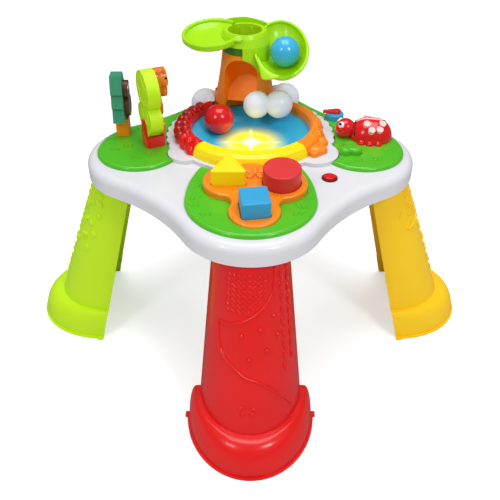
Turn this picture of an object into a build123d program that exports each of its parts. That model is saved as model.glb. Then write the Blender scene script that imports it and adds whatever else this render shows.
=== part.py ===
from build123d import *
import math
import os

os.makedirs("parts", exist_ok=True)

# All sizes are millimetres. The origin is on the floor under the middle of the table,
# +Z is up, -Y is the front where the shape blocks are and +X is the child's right.

# ---------------------------------------------------------------- driving dimensions
REST_GAP = 0.3            # air between a loose or moving piece and its seat
RUNNING_FIT = 0.05        # radial clearance of a pin in its bore
TRIM_GAP = 0.3            # clearance round a piece let into another

# tabletop: four round lobes joined by shallow concave valleys
RIM_HEIGHT = 285.0        # floor to the lower edge of the rim
RIM_DEPTH = 30.0          # depth of the rim
LOBE_OFFSET = 149.0       # table centre to the centre of each lobe
LOBE_RADIUS = 104.0
VALLEY_RADIUS = 290.0
TABLE_WALL = 2.8
RIM_ROUND = 13.0
COVER_THICKNESS = 2.8
COVER_RECESS = 1.0

# legs: half shells that splay outwards and end in a bullnose foot
LEG_WALL = 2.6
LEG_HALF_WIDTH = 52.0     # at the rim
LEG_INNER = 182.0         # open side at the rim, from the table centre
LEG_OUTER = 243.0         # outer face at the rim
LEG_SIDE_LEAN = 5.5       # degrees from vertical
LEG_INNER_LEAN = 14.2
LEG_OUTER_LEAN = 20.9
FOOT_HEIGHT = 49.0
FOOT_LEDGE = 6.0          # step from the leg to the top of the foot
FOOT_FORWARD = 37.0       # how far the foot runs out past the leg's face
FOOT_SIDEWAYS = 18.0
FLANGE_THICKNESS = 3.5
FLANGE_SPREAD = 3.0
EAR_LENGTH = 9.0
EAR_REACH = 3.0           # past the flange's side

# raised green plates
PLATE_THICKNESS = 6.0     # green plates, cloud skirt and bowl flange
PLATE_ROUND = 4.5         # rounded upper edge of the green plates
MEADOW_MARGIN = 16.0      # from the table's edge
SIDE_MEADOW_RADIUS = 65.0 # in front of the middle of each side lobe
SIDE_MEADOW_OFFSET = LOBE_OFFSET + LOBE_RADIUS - MEADOW_MARGIN - SIDE_MEADOW_RADIUS
ISLAND_HALF_WIDTH = 92.0
ISLAND_WIDEST = 134.0     # distance in front of the table centre
ISLAND_MARGIN = 19.0      # from the front tip of the table
ISLAND_HORN_ANGLE = 35.0  # either side of the front, about the bowl
ISLAND_BITE = 131.0

# bowl and the ring round it
BOWL_CENTRE = (0.0, 57.0)
BOWL_FLAT = 64.0          # radius of the flat floor
BOWL_MOUTH = 93.0
BOWL_DROP = 7.0           # floor below the tabletop
BOWL_WALL = 2.5
BOWL_BODY = 91.7          # outside radius below the flange
BOWL_FLANGE = 100.0
RING_CENTRE = (0.0, 50.0) # the ring's outside is nearer the front than its inside
RING_INNER = 95.0
RING_OUTER = 118.0
RING_HEIGHT = 18.0
RING_ENDS = {"red": (129.0, 222.0), "yellow": (222.0, 317.0), "orange": (317.0, 413.0)}
BERRY_RADIUS = 9.5
BERRY_COUNT = 8
LEAF_RADIUS = 16.0        # three low lobes along the orange part
LEAF_REACH = 4.0          # beyond the ring's outside
LEAF_PITCH = 21.0         # degrees
LEAF_FIRST = 350.0
LEAF_HEIGHT = 14.0
FRONT_LEAF = ((108.0, 325.0, 9.0), (123.0, 321.5, 6.0), (129.0, 330.0, 6.0),
              (112.0, 336.0, 8.0))  # its corners: distance, degrees, roundness
FRONT_LEAF_HEIGHT = 8.0
SKIRT_RADIUS = 124.0
SCALLOP_RADIUS = 16.0
SCALLOP_INSET = 5.0       # their centres lie inside the skirt's edge
SCALLOP_PITCH = 20.0
SKIRT_FLARES = ((118.0, 327.0, 36.0), (118.0, 213.0, 28.0))  # distance, degrees, radius
SKIRT_FRONT = 52.0        # degrees either side of the front without scallops

# shape sorter
SORTER_MIDDLE = -150.0    # the sorter's top slopes down to the front about this line
SORTER_RISE = 15.0        # its height above the tabletop there
SORTER_TILT = 5.0
WELL_DEPTH = 8.0
BLOCK_GAP = 1.0
BLOCK_HEIGHT = 31.5
SORTER_MARGIN = 9.5
SORTER_BLEND = 14.0       # hollow radius where two lobes meet
SORTER_HUB = (1.0, -101.0)  # lobe between the blocks and the bowl
SORTER_HUB_RADIUS = 27.5
CYLINDER_AT = (43.0, -121.0)
TRIANGLE_AT = (-31.0, -115.0)
CUBE_AT = (4.5, -183.0)
CYLINDER_RADIUS = 27.0
TRIANGLE_SIDE = 54.0
CUBE_SIDE = 39.0
CUBE_TURN = 8.0

# ball tower
BALL_RADIUS = 24.0
BORE_RADIUS = 27.5
TOWER_CENTRE = (-9.0, 145.0)
TRUNK_PROFILE = ((58.0, 0.0), (53.0, 15.0), (48.5, 37.0), (44.0, 60.0), (40.0, 85.0), (37.0, 109.0))
ARCH_WIDTH = 54.0
ARCH_TOP = 103.0          # above the tabletop
ARCH_TURN = -12.0
RAMP_SLOPE = 34.0
RAMP_MIDDLE = 36.0        # height of the ramp above the tabletop at the tower's axis
OVERHANG_RISE = 25.0      # the trunk's front overhangs the bowl at this height
COLLAR_HEIGHT = 14.0
COLLAR_RADIUS = 36.0
NECK_RADIUS = 41.0
NECK_HEIGHT = 18.0
MOUTH_RADIUS = 34.5
SLEEVE_DROP = 40.0
TRAY_CENTRE = (-62.0, 138.0)
TRAY_RADIUS = 48.0
TRAY_RISE = 130.0         # above the tabletop
TRAY_TILT = 8.0
TRAY_ROLL = 4.0           # its outer end hangs lower
CHUTE_CENTRE = (49.0, 118.0)
CHUTE_RISE = 119.0
CHUTE_HALF_LENGTH = 70.0
CHUTE_HALF_WIDTH = 45.0
CHUTE_CUT = 12.0          # rim below the widest line
CHUTE_MOUTH = 61.0        # from the chute's centre to its open lip
CHUTE_TILT = 21.0
CHUTE_WALL = 3.0
CREST_RADIUS = 48.0       # wall behind the neck that joins the two leaves
CREST_RISE = 146.0
CREST_FALL = 7.0          # degrees down to the right
CREST_ENDS = (38.0, 135.0)
RED_BALL_AT = (-51.0, 76.0)
BLUE_BALL_AT = (55.0, 118.0)
BLUE_BALL_RISE = 114.2    # its centre above the tabletop, in the chute

# clouds round the foot of the tower: plan centre, radius, height of the middle above the table
FRONT_CLOUDS = (((10.0, 101.0), 22.5, 32.0), ((47.0, 102.0), 23.0, 32.0))
REAR_CLOUDS = (((-77.0, 150.0), 25.0, 12.0), ((60.0, 158.0), 25.0, 19.0))

# spinning trees on the left lobe
SPINDLE_RADIUS = 4.0
PINE_AT = (-203.0, 47.0)
PINE_TURN = 2.0
PINE_RISE = 29.0          # height of the carved foot that carries the tree
PINE_TIERS = ((0.0, 25.0, 25.0, 17.0), (23.0, 23.0, 23.0, 15.0), (44.0, 26.0, 20.0, 11.0))
PINE_FACE = 7.0           # the figure's side of the crown, from the spindle's axis
PINE_THICKNESS = 18.0
OAK_AT = (-149.0, 12.0)
OAK_TURN = 24.0
OAK_RISE = 18.0
OAK_LOBES = ((0.0, 71.0, 31.0), (-14.0, 30.0, 20.0), (14.0, 27.0, 20.0), (0.0, 16.0, 18.0))
OAK_FACE = 6.0
OAK_THICKNESS = 19.0
FIGURE_THICKNESS = 7.5
SQUIRREL_LOBES = ((4.0, 84.0, 16.0), (14.0, 66.0, 17.0), (2.0, 46.0, 17.0), (-4.0, 14.0, 15.0))
SQUIRREL_HEAD = ((2.0, 87.0, 15.0), (6.0, 70.0, 14.0))
HEAD_THICKNESS = 18.0
OWL_LOBES = ((0.0, 46.0, 14.0), (1.0, 20.0, 17.0))

# ladybird on the right lobe
LADYBIRD_AT = (191.0, 37.0)
LADYBIRD_RADIUS = 28.0    # round body, drawn out along its own length
LADYBIRD_STRETCH = 6.0    # half of the straight part
LADYBIRD_TURN = -10.0
LADYBIRD_LIFT = 3.0       # body axis above the meadow
FOOT_BUMP = 6.5           # radius of the feet along the hem
FOOT_BUMP_PITCH = 13.0
SHELL_WALL = 3.0
HEAD_AT = (151.0, 41.0)
HEAD_RADIUS = 16.0
HEAD_LIFT = 13.0
EYE_RADIUS = 5.5
KEY_RADIUS = 5.5
KEY_RING = 12.5
KEY_ANGLES = (185.0, 245.0, 305.0, 365.0)
KEY_AXIS = (0.1, -0.43, 0.9)
KEY_PROUD = 2.4
KEY_LENGTH = 10.0

# buttons, selector and piano
BUSH_AT = (153.0, -12.0)
BUSH_LOBE = 9.5
BUSH_SPREAD = 9.0
BUSH_RISE = 10.0
BUSH_ROUND = 5.5
BUSH_BLEND = 4.0          # hollow radius between two lobes
POWER_AT = (115.0, -82.0)
POWER_RADIUS = 8.6
SELECTOR_AT = (141.5, 105.5)
SELECTOR_RADIUS = 15.0
SELECTOR_HEIGHT = 9.0
SELECTOR_PIN = 2.0
LEVER_TIP = 20.0
LEVER_END = 3.5
LEVER_RADIUS = 6.5
LEVER_THICKNESS = 5.0
LEVER_CAP = 1.5           # solid top over the pin
PIANO_INNER = 61.0
PIANO_OUTER = 88.0
PIANO_SPREAD = 54.0       # degrees either side of the back
KEY_NAMES = ("red", "orange", "yellow", "green", "blue")
KEY_STEP = 20.0
KEY_SPAN = 17.0
PIANO_RISE = 4.0
PIANO_KEY_RISE = 10.0
PIANO_TRAVEL_ROOM = 2.3

# inside the table
SPEAKER_AT = (0.0, -70.0)
SPEAKER_RADIUS = 28.0
BOARD_AT = (112.0, -58.0)
BOARD_SIZE = (60.0, 52.0)
BOARD_LIFT = 8.0
LED_AT = (0.0, 18.0)
BATTERY_AT = (-108.0, -55.0)
CELL_RADIUS = 7.15
CELL_LENGTH = 50.0
CELL_PITCH = 14.8
SCREW_RADIUS = 1.5
SCREW_RINGS = (148.0, 172.0)

# ---------------------------------------------------------------- levels
TABLE_TOP = RIM_HEIGHT + RIM_DEPTH
PLATE_TOP = TABLE_TOP + PLATE_THICKNESS
COVER_BOTTOM = RIM_HEIGHT + COVER_RECESS
COVER_TOP = COVER_BOTTOM + COVER_THICKNESS
CEILING = TABLE_TOP - TABLE_WALL
BOWL_FLOOR = TABLE_TOP - BOWL_DROP


# ---------------------------------------------------------------- helpers
def polar(radius, angle, centre=(0.0, 0.0)):
    """Point at a radius and an angle in degrees about a centre, in plan."""
    turn = math.radians(angle)
    return (centre[0] + radius * math.cos(turn), centre[1] + radius * math.sin(turn))


def slab(face, low, high):
    """A plan face made into a slab between two heights."""
    return extrude(Pos(0, 0, low) * face, high - low, dir=(0, 0, 1))


def disc(radius, low, high, centre=(0.0, 0.0)):
    """Upright cylinder between two heights."""
    return Pos(centre[0], centre[1], (low + high) / 2) * Cylinder(radius, high - low)


def block(size_x, size_y, low, high, centre=(0.0, 0.0)):
    """Upright box between two heights."""
    return Pos(centre[0], centre[1], (low + high) / 2) * Box(size_x, size_y, high - low)


def turned(corners, centre=(0.0, 0.0), start=0.0, arc=360.0):
    """Solid turned about a vertical axis from (radius, height) corners."""
    profile = Plane.XZ * make_face(Polyline(*corners, close=True))
    return Pos(centre[0], centre[1], 0) * Rot(0, 0, start) * revolve(profile, Axis.Z, arc)


def sector(inner, outer, start, end):
    """Plan face between two radii and two angles."""
    middle = (start + end) / 2
    return make_face([
        ThreePointArc(polar(outer, start), polar(outer, middle), polar(outer, end)),
        Line(polar(outer, end), polar(inner, end)),
        ThreePointArc(polar(inner, end), polar(inner, middle), polar(inner, start)),
        Line(polar(inner, start), polar(outer, start)),
    ])


def joined(solids):
    """Several overlapping solids as one."""
    whole = solids[0]
    for extra in solids[1:]:
        whole = whole + extra
    return whole


def round_top(solid, radius):
    """Round the edges of the highest flat face."""
    return fillet(solid.faces().sort_by(Axis.Z)[-1].edges(), radius)


def save(node, solid):
    """Write one named piece."""
    solid.label = node
    export_step(solid, os.path.join("parts", node + ".step"))


# ---------------------------------------------------------------- tabletop outline
def lobed_face(inset):
    """Plan of the table drawn in by an inset: lobe arcs tangent to valley arcs."""
    lobe = LOBE_RADIUS - inset
    valley = VALLEY_RADIUS + inset
    between = LOBE_RADIUS + VALLEY_RADIUS
    reach = (math.sqrt(2) * LOBE_OFFSET + math.sqrt(4 * between**2 - 2 * LOBE_OFFSET**2)) / 2
    share = lobe / between

    def touch(lobe_angle, valley_angle):
        """Point where a lobe arc meets the valley arc beside it."""
        here = polar(LOBE_OFFSET, lobe_angle)
        there = polar(reach, valley_angle)
        return (here[0] + (there[0] - here[0]) * share, here[1] + (there[1] - here[1]) * share)

    edges = []
    for quarter in range(4):
        angle = 90.0 * quarter - 90.0
        first = touch(angle, angle - 45)
        last = touch(angle, angle + 45)
        onward = touch(angle + 90, angle + 45)
        edges.append(ThreePointArc(first, polar(LOBE_OFFSET + lobe, angle), last))
        edges.append(ThreePointArc(last, polar(reach - valley, angle + 45), onward))
    return make_face(edges)


def screw_places():
    """Plan positions of the screws that hold the base cover."""
    return [polar(radius, 45 + 90 * quarter) for quarter in range(4) for radius in SCREW_RINGS]


# ---------------------------------------------------------------- tower envelope
def trunk_envelope(clearance):
    """Outside of the tree trunk, grown by a clearance."""
    corners = [(0, TABLE_TOP)]
    corners += [(radius + clearance, TABLE_TOP + height) for radius, height in TRUNK_PROFILE]
    corners.append((0, TABLE_TOP + TRUNK_PROFILE[-1][1]))
    return turned(corners, TOWER_CENTRE)


def tower_turn():
    """Placement of the tower: its axis, with the arch turned a little to the left."""
    return Pos(TOWER_CENTRE[0], TOWER_CENTRE[1], 0) * Rot(0, 0, ARCH_TURN)


def arch_prism(margin):
    """Arched opening in the tower's front, grown by a margin."""
    half = ARCH_WIDTH / 2 + margin
    spring = TABLE_TOP + ARCH_TOP - ARCH_WIDTH / 2
    sides = block(2 * half, 120, TABLE_TOP - 20, spring, (0, -60))
    crown = Pos(0, -60, spring) * Rot(90, 0, 0) * Cylinder(half, 120)
    return tower_turn() * (sides + crown)


def above_ramp():
    """Space above the sloping floor inside the tower."""
    place = Pos(0, 0, TABLE_TOP + RAMP_MIDDLE) * Rot(RAMP_SLOPE, 0, 0)
    return tower_turn() * place * Pos(0, 0, 150) * Box(300, 300, 300)


TRUNK_FOOT = TRUNK_PROFILE[0][0]
TRUNK_TOP = TABLE_TOP + TRUNK_PROFILE[-1][1]
COLLAR_TOP = TRUNK_TOP + COLLAR_HEIGHT
CANOPY_TOP = COLLAR_TOP + NECK_HEIGHT


# ---------------------------------------------------------------- legs
def leg_limits(height):
    """Half width, open side and outer face of the leg at a height."""
    drop = RIM_HEIGHT - height
    half_width = LEG_HALF_WIDTH + drop * math.tan(math.radians(LEG_SIDE_LEAN))
    inner = LEG_INNER + drop * math.tan(math.radians(LEG_INNER_LEAN))
    outer = LEG_OUTER + drop * math.tan(math.radians(LEG_OUTER_LEAN))
    return half_width, inner, outer


def half_oval(half_width, inner, outer, height):
    """Leg section: straight on the open side, half an ellipse on the outer side."""
    arc = EllipticalCenterArc((inner, 0), outer - inner, half_width, start_angle=-90, arc_size=180)
    return Pos(0, 0, height) * make_face([arc, Line(arc @ 1, arc @ 0)])


def leg_core(low, high, grow, open_side=0.0):
    """Tapered half oval between two heights, grown all round."""
    sections = []
    for height in (low, high):
        half_width, inner, outer = leg_limits(height)
        sections.append(half_oval(half_width + grow, inner - open_side, outer + grow, height))
    return loft(sections, ruled=True)


def foot_core(grow, low, high, open_side=0.0):
    """Bullnose foot: the spread past the leg follows a quarter of an ellipse."""
    sections = []
    for share in (1.0, 0.72, 0.45, 0.2, 0.05, 0.0):
        height = low + (high - low) * (1 - share)
        bulge = math.sqrt(1 - (1 - share) ** 2)
        half_width, inner, outer = leg_limits(FOOT_HEIGHT)
        inner = leg_limits(height)[1]
        sections.append(half_oval(
            half_width + FOOT_LEDGE + (FOOT_SIDEWAYS - FOOT_LEDGE) * bulge + grow,
            inner - open_side,
            outer + FOOT_LEDGE + (FOOT_FORWARD - FOOT_LEDGE) * bulge + grow, height))
    return loft(sections)


LEG_TOP = CEILING - REST_GAP


def leg():
    """One leg along +X: splayed half shell, bullnose foot and floor flange."""
    outside = leg_core(FOOT_HEIGHT, LEG_TOP, 0) + foot_core(0, 0, FOOT_HEIGHT)
    half_width, inner, outer = leg_limits(FOOT_HEIGHT)
    floor_half = half_width + FOOT_SIDEWAYS + FLANGE_SPREAD
    floor_inner = leg_limits(0)[1]
    flange = slab(half_oval(floor_half, floor_inner, outer + FOOT_FORWARD + FLANGE_SPREAD, 0),
                  0, FLANGE_THICKNESS)
    outside = outside + flange
    for side in (-1, 1):
        ear_middle = (floor_inner + EAR_LENGTH / 2, side * (floor_half + EAR_REACH - EAR_LENGTH / 2))
        outside = outside + block(EAR_LENGTH, EAR_LENGTH, 0, FLANGE_THICKNESS, ear_middle)
    hollow = leg_core(FOOT_HEIGHT - 2 * LEG_WALL, LEG_TOP - LEG_WALL, -LEG_WALL, LEG_WALL)
    hollow = hollow + foot_core(-LEG_WALL, -1, FOOT_HEIGHT - LEG_WALL, LEG_WALL)
    return outside - hollow


def leg_slot():
    """Slot in the base cover that the top of a leg plugs into."""
    low, high = RIM_HEIGHT, COVER_TOP + 1
    return leg_core(low, high, TRIM_GAP, TRIM_GAP) - leg_core(low, high, -LEG_WALL - TRIM_GAP, 2)


# ---------------------------------------------------------------- table body
def tabletop_shell():
    """White top with a rounded rim, open underneath, with screw bosses."""
    shell = round_top(slab(lobed_face(0), RIM_HEIGHT, TABLE_TOP), RIM_ROUND)
    inside = slab(lobed_face(TABLE_WALL), RIM_HEIGHT, CEILING)
    shell = shell - round_top(inside, RIM_ROUND - TABLE_WALL)
    for place in screw_places():
        shell = shell + disc(SCREW_RADIUS + 2.5, COVER_TOP, CEILING + 0.5, place)
        shell = shell - disc(SCREW_RADIUS + 0.1, COVER_TOP - 1, CEILING - 3, place)
    shell = shell - disc(BOWL_BODY + TRIM_GAP, RIM_HEIGHT, TABLE_TOP + 1, BOWL_CENTRE)
    for place in (PINE_AT, OAK_AT):
        shell = shell - disc(SPINDLE_RADIUS + RUNNING_FIT, RIM_HEIGHT, TABLE_TOP + 1, place)
    shell = shell - disc(POWER_RADIUS + TRIM_GAP, RIM_HEIGHT, TABLE_TOP + 1, POWER_AT)
    return shell


def base_cover():
    """Flat cover under the table with leg slots, grille, battery hatch and posts."""
    cover = slab(lobed_face(TABLE_WALL + TRIM_GAP), COVER_BOTTOM, COVER_TOP)
    for quarter in range(4):
        cover = cover - Rot(0, 0, 90 * quarter) * leg_slot()
    for place in screw_places():
        cover = cover - disc(SCREW_RADIUS + 0.3, RIM_HEIGHT, COVER_TOP + 1, place)
        cover = cover - disc(2 * SCREW_RADIUS + 0.5, RIM_HEIGHT, COVER_BOTTOM + 1.6, place)
    for ring, count in ((0.0, 1), (9.0, 6), (18.0, 12)):
        for step in range(count):
            place = polar(ring, 360 * step / count, SPEAKER_AT)
            cover = cover - disc(2.0, RIM_HEIGHT, COVER_TOP + 1, place)
    cover = cover - block(DOOR_SIZE[0] + 2 * TRIM_GAP, DOOR_SIZE[1] + 2 * TRIM_GAP,
                          RIM_HEIGHT, COVER_TOP + 1, BATTERY_AT)
    for place in board_posts():
        cover = cover + disc(3, COVER_TOP, COVER_TOP + BOARD_LIFT, place)
    for place in led_posts():
        cover = cover + disc(2.5, COVER_TOP, COVER_TOP + BOARD_LIFT, place)
    return cover


def board_posts():
    """Corner posts that carry the main board."""
    half_x = BOARD_SIZE[0] / 2 - 4
    half_y = BOARD_SIZE[1] / 2 - 4
    return [(BOARD_AT[0] + sx * half_x, BOARD_AT[1] + sy * half_y) for sx in (-1, 1) for sy in (-1, 1)]


def led_posts():
    """Two posts that carry the lamp board under the bowl."""
    return [(LED_AT[0] + side * 12, LED_AT[1]) for side in (-1, 1)]


# ---------------------------------------------------------------- green plates
def front_island():
    """Green crescent round the shape sorter, with two horns beside the bowl."""
    front = -(LOBE_OFFSET + LOBE_RADIUS - ISLAND_MARGIN)
    left_horn = polar(ISLAND_BITE, -90 - ISLAND_HORN_ANGLE, RING_CENTRE)
    right_horn = polar(ISLAND_BITE, -90 + ISLAND_HORN_ANGLE, RING_CENTRE)
    bite = polar(ISLAND_BITE, -90, RING_CENTRE)
    halfway = (left_horn[1] - ISLAND_WIDEST) / 2
    flank = ISLAND_HALF_WIDTH - (ISLAND_HALF_WIDTH + left_horn[0]) / 4
    edges = [
        ThreePointArc(left_horn, (-flank, halfway), (-ISLAND_HALF_WIDTH, -ISLAND_WIDEST)),
        ThreePointArc((-ISLAND_HALF_WIDTH, -ISLAND_WIDEST), (0, front),
                      (ISLAND_HALF_WIDTH, -ISLAND_WIDEST)),
        ThreePointArc((ISLAND_HALF_WIDTH, -ISLAND_WIDEST), (flank, halfway), right_horn),
        ThreePointArc(right_horn, bite, left_horn),
    ]
    island = slab(make_face(edges), TABLE_TOP, PLATE_TOP)
    rim = island.faces().sort_by(Axis.Z)[-1].edges().sort_by_distance((bite[0], bite[1], PLATE_TOP))
    island = fillet(rim[1:], PLATE_ROUND)
    return island - slab(sorter_face(TRIM_GAP), TABLE_TOP - 1, PLATE_TOP + 1)


def meadow_plate():
    """Green plate over the left, back and right lobes, open in front and round the bowl."""
    behind = Pos(0, 400) * Rectangle(1200, 800)
    plan = lobed_face(MEADOW_MARGIN) & behind
    for side in (-1, 1):
        plan = plan + Pos(side * SIDE_MEADOW_OFFSET, 0) * Circle(SIDE_MEADOW_RADIUS)
    reach = SKIRT_RADIUS - SCALLOP_INSET + SCALLOP_RADIUS + TRIM_GAP
    plan = plan - Pos(*RING_CENTRE) * Circle(reach)
    for distance, angle, radius in SKIRT_FLARES:
        plan = plan - Pos(*polar(distance, angle, RING_CENTRE)) * Circle(radius + TRIM_GAP)
    plate = round_top(slab(plan, TABLE_TOP, PLATE_TOP), PLATE_ROUND)
    for place in (PINE_AT, OAK_AT):
        plate = plate - disc(SPINDLE_RADIUS + 1, TABLE_TOP - 1, PLATE_TOP + 1, place)
    plate = plate - disc(TRUNK_FOOT + TRIM_GAP, TABLE_TOP - 1, PLATE_TOP + 1, TOWER_CENTRE)
    return plate - slab(bush_face(REST_GAP), TABLE_TOP - 1, PLATE_TOP + 1)


# ---------------------------------------------------------------- shape sorter
def sorter_shapes():
    """Each block's plan face, where it stands and its reach from its centre."""
    circle = Circle(CYLINDER_RADIUS)
    apex = TRIANGLE_SIDE / math.sqrt(3)
    corners = [polar(apex, angle) for angle in (90, 210, 330)]
    triangle = make_face(Polyline(*corners, close=True))
    triangle = fillet(triangle.vertices(), 4)
    square = Rot(0, 0, CUBE_TURN) * RectangleRounded(CUBE_SIDE, CUBE_SIDE, 4)
    return {
        "block_cylinder": (circle, CYLINDER_AT, CYLINDER_RADIUS),
        "block_triangle": (triangle, TRIANGLE_AT, apex - 4),
        "block_cube": (square, CUBE_AT, CUBE_SIDE / math.sqrt(2) - 2),
    }


def sorter_face(grow):
    """Plan of the sorter plate: a round lobe about each block, joined in the middle."""
    places, plan = [], None
    for shape, place, reach in sorter_shapes().values():
        lobe = Pos(*place) * Circle(reach + SORTER_MARGIN + SORTER_BLEND)
        plan = lobe if plan is None else plan + lobe
        places.append(place)
    plan = plan + make_face(Polyline(*places, close=True))
    plan = plan + Pos(*SORTER_HUB) * Circle(SORTER_HUB_RADIUS + SORTER_BLEND)
    return offset(plan, grow - SORTER_BLEND) - Pos(*RING_CENTRE) * Circle(SKIRT_RADIUS + TRIM_GAP - grow)


def on_sorter():
    """Placement on the sloping top: its local zero height is the top face."""
    return Pos(0, SORTER_MIDDLE, TABLE_TOP + SORTER_RISE) * Rot(SORTER_TILT, 0, 0)


def sorter_spot(place):
    """Plan position of a block in the sloping top's own frame."""
    return Pos(place[0], place[1] - SORTER_MIDDLE)


def sorter_plate():
    """Orange plate with a sloping top and three shaped wells."""
    plate = slab(sorter_face(0), TABLE_TOP, TABLE_TOP + 2 * SORTER_RISE)
    plate = plate - on_sorter() * Pos(0, 0, 50) * Box(400, 400, 100)
    plate = round_top(plate, 3)
    for shape, place, reach in sorter_shapes().values():
        well = sorter_spot(place) * offset(shape, BLOCK_GAP)
        plate = plate - on_sorter() * slab(well, -WELL_DEPTH, 5)
    return plate


def sorter_block(name):
    """One solid block standing in its well."""
    shape, place, reach = sorter_shapes()[name]
    low = REST_GAP - WELL_DEPTH
    solid = round_top(slab(sorter_spot(place) * shape, low, low + BLOCK_HEIGHT), 2)
    return on_sorter() * solid


# ---------------------------------------------------------------- bowl and ring
def bowl():
    """Shallow dish let into the table, with a flange that rests on it."""
    floor, lip = BOWL_FLOOR, PLATE_TOP
    return turned([(0, floor), (BOWL_FLAT, floor), (BOWL_MOUTH, lip), (BOWL_FLANGE, lip),
                   (BOWL_FLANGE, TABLE_TOP), (BOWL_BODY, TABLE_TOP),
                   (BOWL_FLAT + 1, floor - BOWL_WALL), (0, floor - BOWL_WALL)], BOWL_CENTRE)


def cloud_skirt():
    """White plate round the bowl with a scalloped outer edge."""
    plan = Pos(*RING_CENTRE) * Circle(SKIRT_RADIUS)
    count = round(2 * math.pi * SKIRT_RADIUS / SCALLOP_PITCH)
    for step in range(count):
        angle = 90 + 360 * step / count
        if abs((angle + 90 + 180) % 360 - 180) > SKIRT_FRONT:
            place = polar(SKIRT_RADIUS - SCALLOP_INSET, angle, RING_CENTRE)
            plan = plan + Pos(*place) * Circle(SCALLOP_RADIUS)
    for distance, angle, radius in SKIRT_FLARES:
        plan = plan + Pos(*polar(distance, angle, RING_CENTRE)) * Circle(radius)
    plan = plan - Pos(*BOWL_CENTRE) * Circle(BOWL_FLANGE + TRIM_GAP)
    skirt = slab(plan, TABLE_TOP, PLATE_TOP)
    return skirt - disc(TRUNK_FOOT + TRIM_GAP, TABLE_TOP - 1, PLATE_TOP + 1, TOWER_CENTRE)


def ring_inside(grow):
    """Space inside the ring, steep-sided about the bowl's centre."""
    low, top, inner = PLATE_TOP, PLATE_TOP + RING_HEIGHT + grow, RING_INNER - grow
    return turned([(0, low - 1), (inner, low - 1), (inner, low + 9), (inner + 1.5, top - 4),
                   (inner + 5, top), (inner + 5, top + 9), (0, top + 9)], BOWL_CENTRE)


def whole_ring(grow):
    """Raised ring: a rounded outside about one centre, a steep inside about the bowl's."""
    low, top, outer = PLATE_TOP, PLATE_TOP + RING_HEIGHT + grow, RING_OUTER + grow
    body = turned([(0, low), (outer, low), (outer - 1.5, low + 7), (outer - 5, top - 4),
                   (outer - 11, top), (0, top)], RING_CENTRE)
    return body - ring_inside(grow)


def front_leaf():
    """Pointed leaf at the front end of the orange part, lying on the skirt."""
    corners = ShapeList()
    for distance, angle, roundness in FRONT_LEAF:
        corners += (Pos(*polar(distance, angle, RING_CENTRE)) * Circle(roundness)).edges()
    leaf = slab(make_hull(corners), PLATE_TOP, PLATE_TOP + FRONT_LEAF_HEIGHT)
    return round_top(leaf, FRONT_LEAF_HEIGHT / 3)


def ring_arc(colour):
    """One of the three arcs of the ring, with its own ornament on the outer side."""
    start, end = RING_ENDS[colour]
    wedge = Pos(*RING_CENTRE) * sector(RING_INNER / 2, 2 * RING_OUTER, start, end)
    arc = whole_ring(0) & slab(wedge, PLATE_TOP, PLATE_TOP + 2 * RING_HEIGHT)
    if colour == "red":
        for step in range(BERRY_COUNT):
            angle = start + 16 + (end - start - 21) * step / (BERRY_COUNT - 1)
            place = polar(RING_OUTER - 6, angle, RING_CENTRE)
            berry = Pos(place[0], place[1], PLATE_TOP + 3) * Sphere(BERRY_RADIUS)
            arc = arc + (berry - block(60, 60, PLATE_TOP - 20, PLATE_TOP, place))
    if colour == "orange":
        for step in range(3):
            place = polar(RING_OUTER + LEAF_REACH - LEAF_RADIUS, LEAF_FIRST + LEAF_PITCH * step, RING_CENTRE)
            lobe = Cone(LEAF_RADIUS, LEAF_RADIUS - 9, LEAF_HEIGHT)
            lobe = Pos(place[0], place[1], PLATE_TOP + LEAF_HEIGHT / 2) * lobe
            arc = arc + (lobe - ring_inside(0))
        arc = arc + (front_leaf() & slab(wedge, PLATE_TOP, PLATE_TOP + RING_HEIGHT))
    return arc - trunk_envelope(TRIM_GAP)


def cloud_group(lumps):
    """White cloud of round lumps, cut clear of the trunk."""
    spheres = [Pos(centre[0], centre[1], TABLE_TOP + middle) * Sphere(radius)
               for centre, radius, middle in lumps]
    return joined(spheres) - trunk_envelope(TRIM_GAP)


def rear_cloud(lump):
    """Single lump beside the trunk, flat underneath and clear of the ring."""
    cloud = cloud_group([lump]) - block(500, 500, TABLE_TOP - 60, PLATE_TOP, BOWL_CENTRE)
    return cloud - whole_ring(TRIM_GAP)


# ---------------------------------------------------------------- ball tower
def trunk():
    """Orange tree trunk behind the bowl: ball bore, sloping floor and an arched way out over the bowl."""
    solid = trunk_envelope(0) - disc(BOWL_FLANGE + TRIM_GAP, TABLE_TOP - 1, TABLE_TOP + OVERHANG_RISE, BOWL_CENTRE)
    bore = disc(BORE_RADIUS, BOWL_FLOOR, TRUNK_TOP + 1, TOWER_CENTRE)
    return solid - ((bore + arch_prism(0)) & above_ramp())


def canopy_collar():
    """Dark green band between the trunk and the leaves."""
    return turned([(BORE_RADIUS, TRUNK_TOP), (COLLAR_RADIUS, TRUNK_TOP),
                   (COLLAR_RADIUS, COLLAR_TOP), (BORE_RADIUS, COLLAR_TOP)], TOWER_CENTRE)


def leaf_tray():
    """Left leaf: a round dish with a thick rolled lip."""
    rim = TRAY_RADIUS
    dish = turned([(0, 0), (rim - 14, 0), (rim - 5, 6), (rim - 5, 9), (rim - 3.5, 10.5),
                   (rim - 1.5, 10.5), (rim, 9), (rim, 2), (rim - 3, -1), (rim - 11, -4), (0, -4)])
    return Pos(TRAY_CENTRE[0], TRAY_CENTRE[1], TABLE_TOP + TRAY_RISE) * Rot(TRAY_TILT, -TRAY_ROLL, 0) * dish


def chute_egg(wall):
    """Long spheroid lying front to back that the right leaf is cut from."""
    arc = EllipticalCenterArc((0, 0), CHUTE_HALF_WIDTH - wall, CHUTE_HALF_LENGTH - wall,
                              start_angle=-90, arc_size=180)
    return revolve(make_face([arc, Line(arc @ 1, arc @ 0)]), Axis.Y)


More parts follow.
